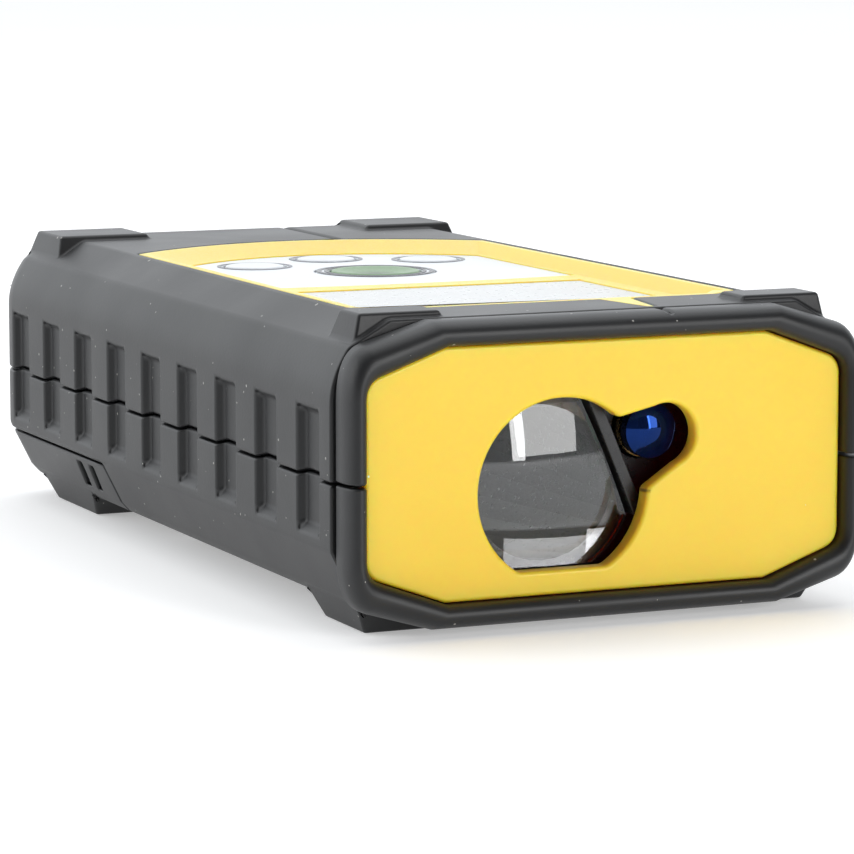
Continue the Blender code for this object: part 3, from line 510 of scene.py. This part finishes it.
def boolean(obj, tools):
    """Apply (bmesh, operation) pairs to an object, in order."""
    cutters = []
    for bm, operation in tools:
        cutter = raw_object(bm, "cutter")
        modifier = obj.modifiers.new("cut", "BOOLEAN")
        modifier.operation = operation
        modifier.object = cutter
        modifier.solver = "EXACT"
        cutters.append(cutter)
    bake_modifiers(obj)
    for cutter in cutters:
        bpy.data.objects.remove(cutter)


def soften(obj, width, segments=3, angle=28.0, clamp=False):
    """Round the sharp edges and keep flat faces flat."""
    bm = bmesh.new()
    bm.from_mesh(obj.data)
    bmesh.ops.remove_doubles(bm, verts=bm.verts, dist=0.00001)
    bmesh.ops.dissolve_degenerate(bm, edges=bm.edges, dist=0.00001)
    bm.to_mesh(obj.data)
    bm.free()
    bevel = obj.modifiers.new("soften", "BEVEL")
    bevel.width = width * MM
    bevel.segments = segments
    bevel.limit_method = "ANGLE"
    bevel.angle_limit = math.radians(angle)
    bevel.use_clamp_overlap = clamp
    bevel.miter_outer = "MITER_ARC"
    bake_modifiers(obj)
    weights = obj.modifiers.new("weights", "WEIGHTED_NORMAL")
    weights.keep_sharp = True
    obj.data.shade_smooth()
    bake_modifiers(obj)


def dress(obj, material, body, slot, *nodes):
    """Give a piece its material and body, and hide the CAD nodes that it stands for; the slot is not
    used.
    """
    obj.data.materials.clear()
    obj.data.materials.append(material)
    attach(obj, body)
    if nodes:
        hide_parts(*nodes)
    return obj


def loft(loops):
    bm = bmesh.new()
    rings = [[bm.verts.new(point) for point in loop] for loop in loops]
    for near, far in zip(rings, rings[1:]):
        for i in range(len(near)):
            j = (i + 1) % len(near)
            bm.faces.new((near[i], near[j], far[j], far[i]))
    bm.faces.new(rings[0])
    bm.faces.new(list(reversed(rings[-1])))
    return bm


def closed_band(rings):
    """Closed ring-shaped solid through equal loops of points."""
    bm = bmesh.new()
    loops = [[bm.verts.new(point) for point in ring] for ring in rings]
    for k in range(len(loops)):
        near, far = loops[k], loops[(k + 1) % len(loops)]
        for i in range(len(near)):
            j = (i + 1) % len(near)
            bm.faces.new((near[i], near[j], far[j], far[i]))
    return bm


def plate(outline, low, high):
    return loft([[(x, lie(y), z) for x, y in outline] for z in (low, high)])


def upright(outline, y0, y1):
    """Prism along Y from an outline of (x, height) points."""
    return loft([[(x, lie(y), rise(z)) for x, z in outline] for y in (y0, y1)])


def rectangle(x0, x1, y0, y1):
    return ((x0, y0), (x1, y0), (x1, y1), (x0, y1))


def block(x0, x1, y0, y1, z0, z1):
    return plate(rectangle(x0, x1, y0, y1), z0, z1)


def circle(radius, steps):
    angles = [2 * math.pi * i / steps for i in range(steps)]
    return [(radius * math.cos(a), radius * math.sin(a)) for a in angles]


def turned(profile, centre, axis="Z", steps=96):
    """Solid of revolution from (radius, height) points that start and end on the axis."""
    bm = bmesh.new()
    rings = []
    for radius, height in profile[1:-1]:
        rings.append([bm.verts.new((x, y, height)) for x, y in circle(radius, steps)])
    for low, high in zip(rings, rings[1:]):
        for i in range(steps):
            j = (i + 1) % steps
            bm.faces.new((low[i], low[j], high[j], high[i]))
    start = bm.verts.new((0.0, 0.0, profile[0][1]))
    end = bm.verts.new((0.0, 0.0, profile[-1][1]))
    for i in range(steps):
        j = (i + 1) % steps
        bm.faces.new((rings[0][j], rings[0][i], start))
        bm.faces.new((rings[-1][i], rings[-1][j], end))
    if axis == "Y":
        turn = Matrix.Rotation(math.radians(-90), 3, "X")
        bmesh.ops.rotate(bm, verts=bm.verts, cent=(0, 0, 0), matrix=turn)
    bmesh.ops.translate(bm, verts=bm.verts, vec=centre)
    return bm


def rod(radius, low, high, centre, axis="Z", steps=64):
    return turned(((0, low), (radius, low), (radius, high), (0, high)), centre, axis, steps)


def ring_solid(inner, outer, low, high, centre, steps=96):
    corners = ((inner, low), (outer, low), (outer, high), (inner, high))
    x, y, z = centre
    return closed_band([[(x + a, y + b, z + h) for a, b in circle(r, steps)] for r, h in corners])


def mirrored(bm):
    bmesh.ops.scale(bm, verts=bm.verts, vec=(-1, 1, 1))
    bmesh.ops.reverse_faces(bm, faces=bm.faces)
    return bm


# ---- rubber sleeve -------------------------------------------------------


def groove_share(distance):
    """1 on a groove's floor, 0 on the ribs between the grooves."""
    for i in range(GROOVE_COUNT):
        offset = abs(distance - GROOVE_FIRST - i * GROOVE_PITCH)
        if offset <= GROOVE_WIDTH / 2 - GROOVE_SLOPE + 0.01:
            return 1.0
    return 0.0


def sleeve_stations():
    """(distance, inset of the outline) pairs along the body."""
    stations = [(SLEEVE_START, 0.0)]
    half = GROOVE_WIDTH / 2
    for i in range(GROOVE_COUNT):
        middle = GROOVE_FIRST + i * GROOVE_PITCH
        for edge in (-half, -half + GROOVE_SLOPE, half - GROOVE_SLOPE, half):
            stations.append((middle + edge, 0.0))
    return stations + list(END_ROUNDING)


def shoulder_arc():
    points = []
    for i in range(1, SHOULDER_STEPS + 1):
        t = i / SHOULDER_STEPS
        inward = (BODY_HALF_WIDTH - SHOULDER_FOOT_X) * t * t
        points.append((BODY_HALF_WIDTH - inward, CREASE + (SHOULDER_FOOT_Z - CREASE) * t))
    return points


def parting_height(share):
    """The halves interlock: the joint sits higher in the grooves than on the ribs."""
    return PARTING + PARTING_STEP * (2 * share - 1)


def upper_side(share):
    wall = BODY_HALF_WIDTH
    floor = wall - GROOVE_DEPTH * share
    return [
        (floor, parting_height(share) + VISIBLE_GAP),
        (floor, GROOVE_TOP - GROOVE_SLOPE),
        (wall, GROOVE_TOP),
        (wall, CREASE),
        *shoulder_arc(),
        (RIM_X, RIM_Z),
    ]


def lower_side(share):
    wall = BODY_HALF_WIDTH
    floor = wall - GROOVE_DEPTH * share
    return [
        (floor, parting_height(share) - VISIBLE_GAP),
        (floor, GROOVE_BOTTOM + GROOVE_SILL),
        (wall, GROOVE_BOTTOM),
        (wall, -CREASE),
        (BELLY_X, BELLY_Z),
        (BELLY_X - BELLY_TUCK[0], BELLY_Z - BELLY_TUCK[1]),
        (FLAT_BOTTOM_X, FLAT_BOTTOM_Z),
    ]


def sleeve_half(side):
    loops = []
    for distance, inset in sleeve_stations():
        half = [(x - inset, z * (1 - inset / OPTIC_Z)) for x, z in side(groove_share(distance))]
        right = [(x, lie(distance), rise(z)) for x, z in half]
        left = [(-x, lie(distance), rise(z)) for x, z in reversed(half)]
        loops.append(right + left)
    return loft(loops)


def upper_cavity():
    return upright((
        (-CAVITY_X, -CAVITY_PAST), (CAVITY_X, -CAVITY_PAST), (CAVITY_X, CAVITY_HAUNCH),
        (CAVITY_ROOF_X, ROOF), (-CAVITY_ROOF_X, ROOF), (-CAVITY_X, CAVITY_HAUNCH),
    ), CAVITY_START, CAVITY_END)


def lower_cavity():
    return upright((
        (-CAVITY_X, CAVITY_PAST), (-CAVITY_X, CAVITY_HIP), (-CAVITY_FLOOR_X, FLOOR),
        (CAVITY_FLOOR_X, FLOOR), (CAVITY_X, CAVITY_HIP), (CAVITY_X, CAVITY_PAST),
    ), CAVITY_START, CAVITY_END)


def arch(half_width, corner_y, height):
    """Points of a shallow arch across the body, from its right end to its left."""
    points = []
    for i in range(2 * ARCH_STEPS + 1):
        share = 1 - i / ARCH_STEPS
        points.append((half_width * share, corner_y + height * (1 - share * share)))
    return points


def window_outline(inset):
    """Outline of the opening in the top, with an arched rear edge, shrunk by an inset."""
    front_x, front_y = WINDOW_FRONT_CORNER
    half = WINDOW_X - inset
    front = [(front_x - inset * 0.3, WINDOW_FRONT + inset), (half, front_y + inset * 0.6)]
    rear = arch(half, WINDOW_REAR_CORNER_Y - inset * 0.5, WINDOW_REAR_ARCH - inset * 0.5)
    return front + rear + [(-x, y) for x, y in reversed(front)]


def dish_outline():
    """Floor of the dish, with the same number of points as the opening's outline."""
    front = [(DISH_X - 3.0, DISH_FRONT), (DISH_X, DISH_FRONT)]
    rear = arch(DISH_X, LABEL_CORNER_Y + 0.6, LABEL_ARCH)
    return front + rear + [(-x, y) for x, y in reversed(front)]


def label_outline(inset):
    """Keypad film: bowed near edge, straight sides and an arched far edge."""
    half = LABEL_X - inset
    far = arch(half, LABEL_CORNER_Y - inset, LABEL_ARCH)
    near = arch(half, LABEL_NEAR + inset, -LABEL_NEAR_BOW)
    return [(x, y) for x, y in reversed(near)] + far


def bumper(shape, wide_z, small_z):
    """Tapered corner block between a wide face and a small one."""
    (x_in, x_out, y0, y1), (inward, outward, forward, back) = shape
    wide = rectangle(x_in - inward, x_out + outward, y0 - forward, y1 + back)
    small = rectangle(x_in, x_out, y0, y1)
    levels = ((wide, wide_z), (small, small_z))
    return loft([[(x, lie(y), z) for x, y in outline] for outline, z in levels])


def both_sides(shape, wide_z, small_z):
    right = bumper(shape, wide_z, small_z)
    left = mirrored(bumper(shape, wide_z, small_z))
    return [(right, "UNION"), (left, "UNION")]


def tongue_outline(inset):
    return (
        (LASER_X - TONGUE_ROOT_HALF + inset, WINDOW_FRONT + 1.0),
        (LASER_X - TONGUE_TIP_HALF + inset, SLEEVE_START + 1.0 + inset),
        (LASER_X + TONGUE_TIP_HALF - inset, SLEEVE_START + 1.0 + inset),
        (LASER_X + TONGUE_ROOT_HALF - inset, WINDOW_FRONT + 1.0),
    )


def notch(y0, y1, size, top):
    width, depth = size
    section = ((-width, top + depth), (0.0, top - depth), (width, top + depth))
    return loft([[(LASER_X + x, lie(y), z) for x, z in section] for y in (y0, y1)])


def make_upper_sleeve(material):
    obj = raw_object(sleeve_half(upper_side), "sleeve_upper")
    tools = both_sides(FRONT_BUMPER, BUMPER_BASE, HEIGHT)
    tools += both_sides(REAR_BUMPER, BUMPER_BASE, HEIGHT)
    tools += [
        (upper_cavity(), "DIFFERENCE"),
        (plate(window_outline(0.0), BUMPER_BASE, ABOVE), "DIFFERENCE"),
        (plate(tongue_outline(0.0), BUMPER_BASE, ABOVE), "DIFFERENCE"),
        (notch(WINDOW_REAR_CORNER_Y, BODY_END + 2.0, REAR_NOTCH, rise(RIM_Z)), "DIFFERENCE"),
    ]
    boolean(obj, tools)
    soften(obj, 0.35, angle=16.0)
    return dress(obj, material, "body", "overmold_rubber", "upper_overmold")


def screw_tools():
    """Stepped holes for the four case screws."""
    tools = []
    for y in SCREW_Y:
        for sign in (-1, 1):
            spot = (sign * SCREW_X, lie(y), 0.0)
            for radius, top in (SCREW_HEAD_HOLE, SCREW_SHANK_HOLE):
                tools.append((rod(radius, -1.0, top, spot, steps=48), "DIFFERENCE"))
    return tools


def make_lower_sleeve(material):
    obj = raw_object(sleeve_half(lower_side), "sleeve_lower")
    tools = both_sides(FRONT_FOOT, FOOT_TOP, 0.0)
    tools.append((lower_cavity(), "DIFFERENCE"))
    tools += screw_tools()
    bay = block(-BEYOND, BEYOND, COVER_START - PART_GAP, BODY_END + BEYOND, -BEYOND, rise(COVER_TOP))
    tools.append((bay, "DIFFERENCE"))
    boolean(obj, tools)
    soften(obj, 0.3, angle=16.0)
    return dress(obj, material, "body", "overmold_rubber", "lower_overmold")


def strap_slot(y):
    """Slanted slot through the left lower facet."""
    high, low = STRAP_SLOT_Z
    slant, width = STRAP_SLOT_SLANT, STRAP_SLOT_WIDTH
    section = ((y, high), (y + width, high), (y + width + slant, low), (y + slant, low))
    walls = (BODY_HALF_WIDTH - STRAP_SLOT_REACH, BODY_HALF_WIDTH + 1.0)
    return loft([[(-x, lie(d), rise(z)) for d, z in section] for x in walls])


def make_cover(material):
    obj = raw_object(sleeve_half(lower_side), "cover_shell")
    tools = both_sides(REAR_FOOT, FOOT_TOP, 0.0)
    top = rise(COVER_TOP) - PART_GAP
    tools += [
        (lower_cavity(), "DIFFERENCE"),
        *((strap_slot(start), "DIFFERENCE") for start in STRAP_SLOTS),
        (block(-BEYOND, BEYOND, -BEYOND, COVER_START, -BEYOND, BEYOND), "DIFFERENCE"),
        (block(-BEYOND, BEYOND, -BEYOND, BODY_END + BEYOND, top, BEYOND), "DIFFERENCE"),
    ]
    boolean(obj, tools)
    soften(obj, 0.3, angle=16.0)
    return dress(obj, material, "battery_cover", "overmold_rubber", "battery_cover")


# ---- hoop and panel ------------------------------------------------------


def octagon(top, shoulder, steps=10):
    """Octagon in the XZ plane: its top corner, and a shoulder rounded through three points."""
    corner = [top]
    for i in range(steps + 1):
        t = i / steps
        weights = ((1 - t) ** 2, 2 * t * (1 - t), t * t)
        x = sum(w * point[0] for w, point in zip(weights, shoulder))
        z = sum(w * point[1] for w, point in zip(weights, shoulder))
        corner.append((x, z))
    lower_right = [(x, -z) for x, z in reversed(corner)]
    lower_left = [(-x, -z) for x, z in corner]
    upper_left = [(-x, z) for x, z in reversed(corner)]
    return corner + lower_right + lower_left + upper_left


def hoop_outer():
    return octagon((HOOP_OUTER_TOP_X, HOOP_OUTER_TOP), HOOP_SHOULDER)


def panel_outline(grow):
    half_width = PANEL_HALF_WIDTH + grow
    top = (PANEL_TOP_X + grow * CORNER_GROWTH, PANEL_HALF_HEIGHT + grow)
    side_z = PANEL_SIDE_Z + grow * CORNER_GROWTH
    before = (
        half_width - (half_width - top[0]) * PANEL_ROUNDING,
        side_z + (top[1] - side_z) * PANEL_ROUNDING,
    )
    after = (half_width, side_z * (1 - PANEL_ROUNDING))
    return octagon(top, (before, (half_width, side_z), after))


def hoop_section(steps=10):
    """(share from inner to outer outline, distance) points of the bulging rim."""
    crest, lip, flank = 0.42, -0.35, 1.0
    points = [(0.0, HOOP_BACK), (0.0, lip)]
    for i in range(1, steps + 1):
        angle = math.pi / 2 * i / steps
        share = crest * (1 - math.cos(angle))
        points.append((share, lip - (HOOP_REACH + lip) * math.sin(angle)))
    for i in range(1, steps + 1):
        angle = math.pi / 2 * i / steps
        share = crest + (1 - crest) * math.sin(angle)
        points.append((share, flank - (HOOP_REACH + flank) * math.cos(angle)))
    return points + [(1.0, HOOP_BACK)]


def between(inner, outer, share):
    """Outline part of the way from one outline to another."""
    points = []
    for (x0, z0), (x1, z1) in zip(inner, outer):
        points.append((x0 + (x1 - x0) * share, z0 + (z1 - z0) * share))
    return points


def make_hoop(name, node, material, upper):
    """One half of the rim around the front panel."""
    inner = panel_outline(VISIBLE_GAP)
    outer = hoop_outer()
    rings = []
    for share, distance in hoop_section():
        outline = between(inner, outer, share)
        rings.append([(x, lie(distance), rise(z)) for x, z in outline])
    obj = raw_object(closed_band(rings), name)
    edge = rise(PARTING)
    if upper:
        below = block(-BEYOND, BEYOND, -BEYOND, BEYOND, -BEYOND, edge + PART_GAP / 2)
        tools = [(below, "DIFFERENCE")]
        groove = notch(-2 * HOOP_BACK, 2 * HOOP_BACK, HOOP_NOTCH, rise(HOOP_OUTER_TOP))
        tools.append((groove, "DIFFERENCE"))
    else:
        above = block(-BEYOND, BEYOND, -BEYOND, BEYOND, edge - PART_GAP / 2, BEYOND)
        tools = [(above, "DIFFERENCE")]
    boolean(obj, tools)
    soften(obj, 0.25, angle=40.0)
    return dress(obj, material, "body", "overmold_rubber", node)


def lens_opening_outline(steps=120):
    """Circle of the large lens with its flat foot."""
    round_points = circle(LENS_OPENING_R, steps)
    return [(LENS_X + x, max(LENS_Z + z, LENS_FLAT_Z)) for x, z in round_points]


def laser_directions():
    """Unit vectors in the XZ plane from the large lens to the laser, and across that."""
    along = Vector((LASER_X - LENS_X, LASER_Z - LENS_Z)).normalized()
    return along, Vector((-along.y, along.x))


def laser_opening_outline(steps=40):
    """Round-ended slot that widens from the laser into the large lens's opening."""
    radius = LASER_OPENING_R
    along, across = laser_directions()
    centre = Vector((LASER_X, LASER_Z))
    root = centre - along * THROAT_LENGTH
    points = [root + across * THROAT_HALF_WIDTH, root - across * THROAT_HALF_WIDTH]
    for i in range(steps + 1):
        angle = math.pi * (i / steps - 0.5)
        reach = along * math.cos(angle) + across * math.sin(angle)
        points.append(centre + reach * radius)
    return [tuple(point) for point in points]


def make_panel(material):
    obj = raw_object(upright(panel_outline(0.0), 0.0, PANEL_THICK), "front_plate")
    through = (-PANEL_THICK, 2 * PANEL_THICK)
    boolean(obj, [
        (upright(lens_opening_outline(), *through), "DIFFERENCE"),
        (upright(laser_opening_outline(), *through), "DIFFERENCE"),
    ])
    soften(obj, 0.45, angle=50.0)
    return dress(obj, material, "body", "yellow_plastic", "front_panel")


# ---- top -----------------------------------------------------------------


def make_dish():
    """Shallow hollow that slopes from the thin rim down to the display and keypad."""
    rim = window_outline(PART_GAP + RIM_WIDTH)
    floor = dish_outline()
    over = 1.0
    lift = FRAME_TOP - DISH_FLOOR
    above = []
    for (x, y), (floor_x, floor_y) in zip(rim, floor):
        above.append((x + (x - floor_x) * over / lift, y + (y - floor_y) * over / lift))
    levels = ((floor, DISH_FLOOR), (above, FRAME_TOP + over))
    return loft([[(x, lie(y), z) for x, y in outline] for outline, z in levels])


def make_frame(material):
    obj = raw_object(plate(window_outline(VISIBLE_GAP), FRAME_BASE, FRAME_TOP), "dished_frame")
    x0, x1, y0, y1 = DISPLAY
    lip = DISPLAY_LIP
    through = (FRAME_BASE - 1.0, LABEL_TOP)
    tools = [
        (plate(tongue_outline(VISIBLE_GAP), TONGUE_BASE, FRAME_TOP), "UNION"),
        (make_dish(), "DIFFERENCE"),
        (plate(rectangle(*DISPLAY), POCKET_FLOOR, ABOVE), "DIFFERENCE"),
        (plate(label_outline(0.0), POCKET_FLOOR, ABOVE), "DIFFERENCE"),
        (block(x0 + lip, x1 - lip, y0 + lip, y1 - lip, *through), "DIFFERENCE"),
    ]
    for _, x, y, radius in (MEASURE_KEY, *SMALL_KEYS):
        hole = rod(radius + KEY_CLEARANCE, *through, (x, lie(y), 0.0))
        tools.append((hole, "DIFFERENCE"))
    boolean(obj, tools)
    soften(obj, 0.14)
    return dress(obj, material, "body", "yellow_plastic", "top_frame")


def make_window(material):
    x0, x1, y0, y1 = DISPLAY
    gap = VISIBLE_GAP
    pane = block(x0 + gap, x1 - gap, y0 + gap, y1 - gap, LABEL_BASE, LABEL_TOP)
    obj = raw_object(pane, "display_pane")
    soften(obj, 0.12)
    return dress(obj, material, "body", "display_window", "display_window")


def make_label(material):
    obj = raw_object(plate(label_outline(VISIBLE_GAP), LABEL_BASE, LABEL_TOP), "keypad_film")
    x, y, radius = MEASURE_KEY[1:]
    hole = rod(radius + RING_HOLE, FRAME_BASE, ABOVE, (x, lie(y), 0.0), steps=96)
    tools = [(hole, "DIFFERENCE")]
    for _, x, y, radius in SMALL_KEYS:
        hole = rod(radius + KEY_CLEARANCE, FRAME_BASE, ABOVE, (x, lie(y), 0.0))
        tools.append((hole, "DIFFERENCE"))
    boolean(obj, tools)
    soften(obj, 0.08)
    return dress(obj, material, "body", "white_plastic", "keypad_label")


def make_button_ring(white, dark):
    x, y, radius = MEASURE_KEY[1:]
    spot = (x, lie(y), 0.0)
    inner, outer = radius + KEY_CLEARANCE, radius + RING_WIDTH
    collar = raw_object(ring_solid(inner, outer, LABEL_BASE, LABEL_TOP, spot), "button_collar")
    soften(collar, 0.08)
    dress(collar, white, "body", "grey_plastic", "measure_button_ring")
    levels = (LABEL_TOP + BAND_BASE, LABEL_TOP + COLLAR_RING_TOP)
    # Two dark bands laid on the collar
    for name, near, far in COLLAR_DARK_RINGS:
        band = ring_solid(radius + near, radius + far, *levels, spot)
        dress(raw_object(band, f"collar_band_{name}"), dark, "body", "grey_plastic")


def make_key_rings(grey):
    near, far = KEY_PRINT
    levels = (LABEL_TOP + BAND_BASE, LABEL_TOP + KEY_PRINT_TOP)
    for name, x, y, radius in SMALL_KEYS:
        band = ring_solid(radius + near, radius + far, *levels, (x, lie(y), 0.0))
        dress(raw_object(band, f"{name}_ring"), grey, "body", "grey_plastic")


def key_profile(radius, dish):
    """Flange, straight side, rounded edge and shallow dish of a push key."""
    low, high = FLANGE_Z
    flange = radius + FLANGE_EXTRA
    points = [(0.0, low), (flange, low), (flange, high), (radius, high)]
    points += [(radius, KEY_TOP - 0.3), (radius - 0.08, KEY_TOP - 0.1), (radius - 0.3, KEY_TOP)]
    for i in range(1, 10):
        t = 1 - i / 10
        points.append(((radius - 0.3) * t, KEY_TOP - dish * (1 - t * t)))
    return points + [(0.0, KEY_TOP - dish)]


def make_key(key, material, dish, slot):
    name, x, y, radius = key
    obj = raw_object(turned(key_profile(radius, dish), (x, lie(y), 0.0)), f"{name}_cap")
    obj.data.shade_smooth()
    obj.data.set_sharp_from_angle(angle=math.radians(40))
    return dress(obj, material, name, slot, name)


# ---- optics --------------------------------------------------------------


def lens_chord(start, width, half_length):
    """Corners of a bar across the large lens, on the side that faces the laser."""
    along, across = laser_directions()
    near = Vector((LENS_X, LENS_Z)) + along * start
    far = near + along * width
    reach = across * half_length
    return [tuple(point) for point in (near - reach, far - reach, far + reach, near + reach)]


def dome(radius, bulge, edge, steps):
    """Curved front of a lens, from its middle to its rim, as (radius, depth) points."""
    points = [(0.0, -bulge)]
    for i in range(1, steps + 1):
        t = i / steps
        points.append((radius * t, -bulge + (bulge + edge) * t * t))
    return points


def make_receiver_lens(material):
    """Large lens, cut flat below and along the chord beside the laser."""
    points = dome(LENS_R, LENS_BULGE, LENS_EDGE, 14)
    points += [(LENS_R, LENS_BACK - 0.2), (LENS_R * 0.99, LENS_BACK), (0.0, LENS_BACK)]
    centre = (LENS_X, lie(PANEL_THICK + LENS_SETBACK), rise(LENS_Z))
    obj = raw_object(turned(points, centre, "Y", 128), "big_lens")
    foot = rise(LENS_FLAT_Z - LENS_FLAT_GAP)
    boolean(obj, [
        (block(-BEYOND, BEYOND, -BEYOND, BEYOND, -BEYOND, foot), "DIFFERENCE"),
        (upright(lens_chord(LENS_CHORD, BEYOND, BEYOND), -BEYOND, BEYOND), "DIFFERENCE"),
    ])
    obj.data.shade_smooth()
    obj.data.set_sharp_from_angle(angle=math.radians(25))
    return dress(obj, material, "body", "lens_glass", "receiver_lens")


def make_retainer(material):
    """Black bar that clamps the chord edge of the large lens."""
    bar = lens_chord(LENS_CHORD + PART_GAP, RETAINER_WIDTH, RETAINER_HALF)
    obj = raw_object(upright(bar, *RETAINER_DEPTH), "chord_bar")
    soften(obj, 0.15)
    return dress(obj, material, "body", "black_plastic", "lens_retainer")


def make_laser_lens(material):
    points = dome(LASER_LENS_R, LASER_LENS_BULGE, LASER_LENS_EDGE, 10)
    points += [(LASER_LENS_R, LASER_LENS_BACK - 0.1), (LASER_LENS_R - 0.1, LASER_LENS_BACK)]
    points.append((0.0, LASER_LENS_BACK))
    centre = (LASER_X, lie(PANEL_THICK + LASER_LENS_SETBACK), rise(LASER_Z))
    obj = raw_object(turned(points, centre, "Y", 96), "small_lens")
    obj.data.shade_smooth()
    obj.data.set_sharp_from_angle(angle=math.radians(30))
    return dress(obj, material, "body", "coated_glass", "laser_lens")


# ---- CAD nodes that keep their shape -------------------------------------


KEPT = {
    "black": ("optics_chassis", "inner_frame", "battery_tray", "buzzer", "processor"),
    "steel": (
        "measure_button_switch", "clear_key_switch", "unit_key_switch", "function_key_switch",
        "photodiode", "front_contact_plate", "rear_contact_plate", "front_contact_spring",
        "rear_contact_spring", "case_screw_1", "case_screw_2", "case_screw_3", "case_screw_4",
    ),
    "brass": ("laser_module",),
    "board": ("main_board", "receiver_board"),
    "ribbon": ("ribbon_cable",),
    "cell": ("front_battery", "rear_battery"),
    "grey": ("display_module",),
}


def dress_kept_nodes(mats):
    for key, names in KEPT.items():
        for name in names:
            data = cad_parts[name].data
            data.materials.clear()
            data.materials.append(mats[key])


# ---- studio --------------------------------------------------------------


def make_camera():
    data = bpy.data.cameras.new("camera")
    data.lens = CAMERA_LENS
    data.sensor_width = 36.0
    data.clip_start = 0.01
    data.clip_end = 10.0
    obj = bpy.data.objects.new("camera", data)
    obj.location = [value * MM for value in CAMERA_SPOT]
    obj.rotation_euler = [math.radians(value) for value in CAMERA_TURN]
    bpy.context.scene.collection.objects.link(obj)
    bpy.context.scene.camera = obj


def area_light(name, spot, target, size, power):
    data = bpy.data.lights.new(name, "AREA")
    data.shape = "RECTANGLE"
    data.size, data.size_y = size
    data.energy = power
    obj = bpy.data.objects.new(name, data)
    obj.location = spot
    obj.rotation_euler = (Vector(target) - Vector(spot)).to_track_quat("-Z", "Y").to_euler()
    bpy.context.scene.collection.objects.link(obj)


def make_world():
    """Bright behind, above and at the sides, dark on the side of the lenses."""
    world = bpy.data.worlds.new("studio")
    world.use_nodes = True
    tree = world.node_tree
    background = tree.nodes["Background"]
    place = tree.nodes.new("ShaderNodeTexCoord")
    split = tree.nodes.new("ShaderNodeSeparateXYZ")
    fade = tree.nodes.new("ShaderNodeMapRange")
    tree.links.new(place.outputs["Generated"], split.inputs[0])
    tree.links.new(split.outputs["Y"], fade.inputs["Value"])
    fade.inputs["From Min"].default_value = WORLD_FADE[0]
    fade.inputs["From Max"].default_value = WORLD_FADE[1]
    fade.inputs["To Min"].default_value = WORLD_DARK
    fade.inputs["To Max"].default_value = WORLD_LIGHT
    tree.links.new(fade.outputs["Result"], background.inputs["Strength"])
    background.inputs["Color"].default_value = (0.94, 0.97, 1.0, 1.0)
    bpy.context.scene.world = world
    bpy.context.scene.view_settings.view_transform = "Standard"


def make_floor():
    bm = bmesh.new()
    bmesh.ops.create_grid(bm, x_segments=1, y_segments=1, size=FLOOR_HALF)
    floor = raw_object(bm, "floor")
    n = Nodes("paper")
    n.colour(n.mix(n.ramp(n.noise(3.0), 0.3, 0.7), (0.78, 0.78, 0.78), (0.80, 0.80, 0.80)))
    n.set(Roughness=0.9, Specular_IOR_Level=0.1, Emission_Strength=FLOOR_GLOW)
    n.shader.inputs["Emission Color"].default_value = (1.0, 1.0, 1.0, 1.0)
    floor.data.materials.append(n.material)


def make_studio():
    make_floor()
    make_world()
    for name, spot, size, power in LIGHTS:
        area_light(name, spot, (0, 0, 0.02), size, power)


def main():
    mats = make_materials()
    make_camera()
    make_studio()
    make_upper_sleeve(mats["rubber"])
    make_lower_sleeve(mats["rubber"])
    make_cover(mats["rubber"])
    make_hoop("hoop_upper", "upper_front_hoop", mats["rubber"], True)
    make_hoop("hoop_lower", "lower_front_hoop", mats["rubber"], False)
    make_panel(mats["yellow"])
    make_frame(mats["yellow"])
    make_window(mats["display"])
    make_label(mats["white"])
    make_button_ring(mats["white"], mats["dark_ring"])
    make_key_rings(mats["grey"])
    make_key(MEASURE_KEY, mats["green"], MEASURE_KEY_DISH, "green_plastic")
    for key in SMALL_KEYS:
        make_key(key, mats["white"], SMALL_KEY_DISH, "white_plastic")
    make_receiver_lens(mats["glass"])
    make_retainer(mats["black"])
    make_laser_lens(mats["blue"])
    dress_kept_nodes(mats)


main()
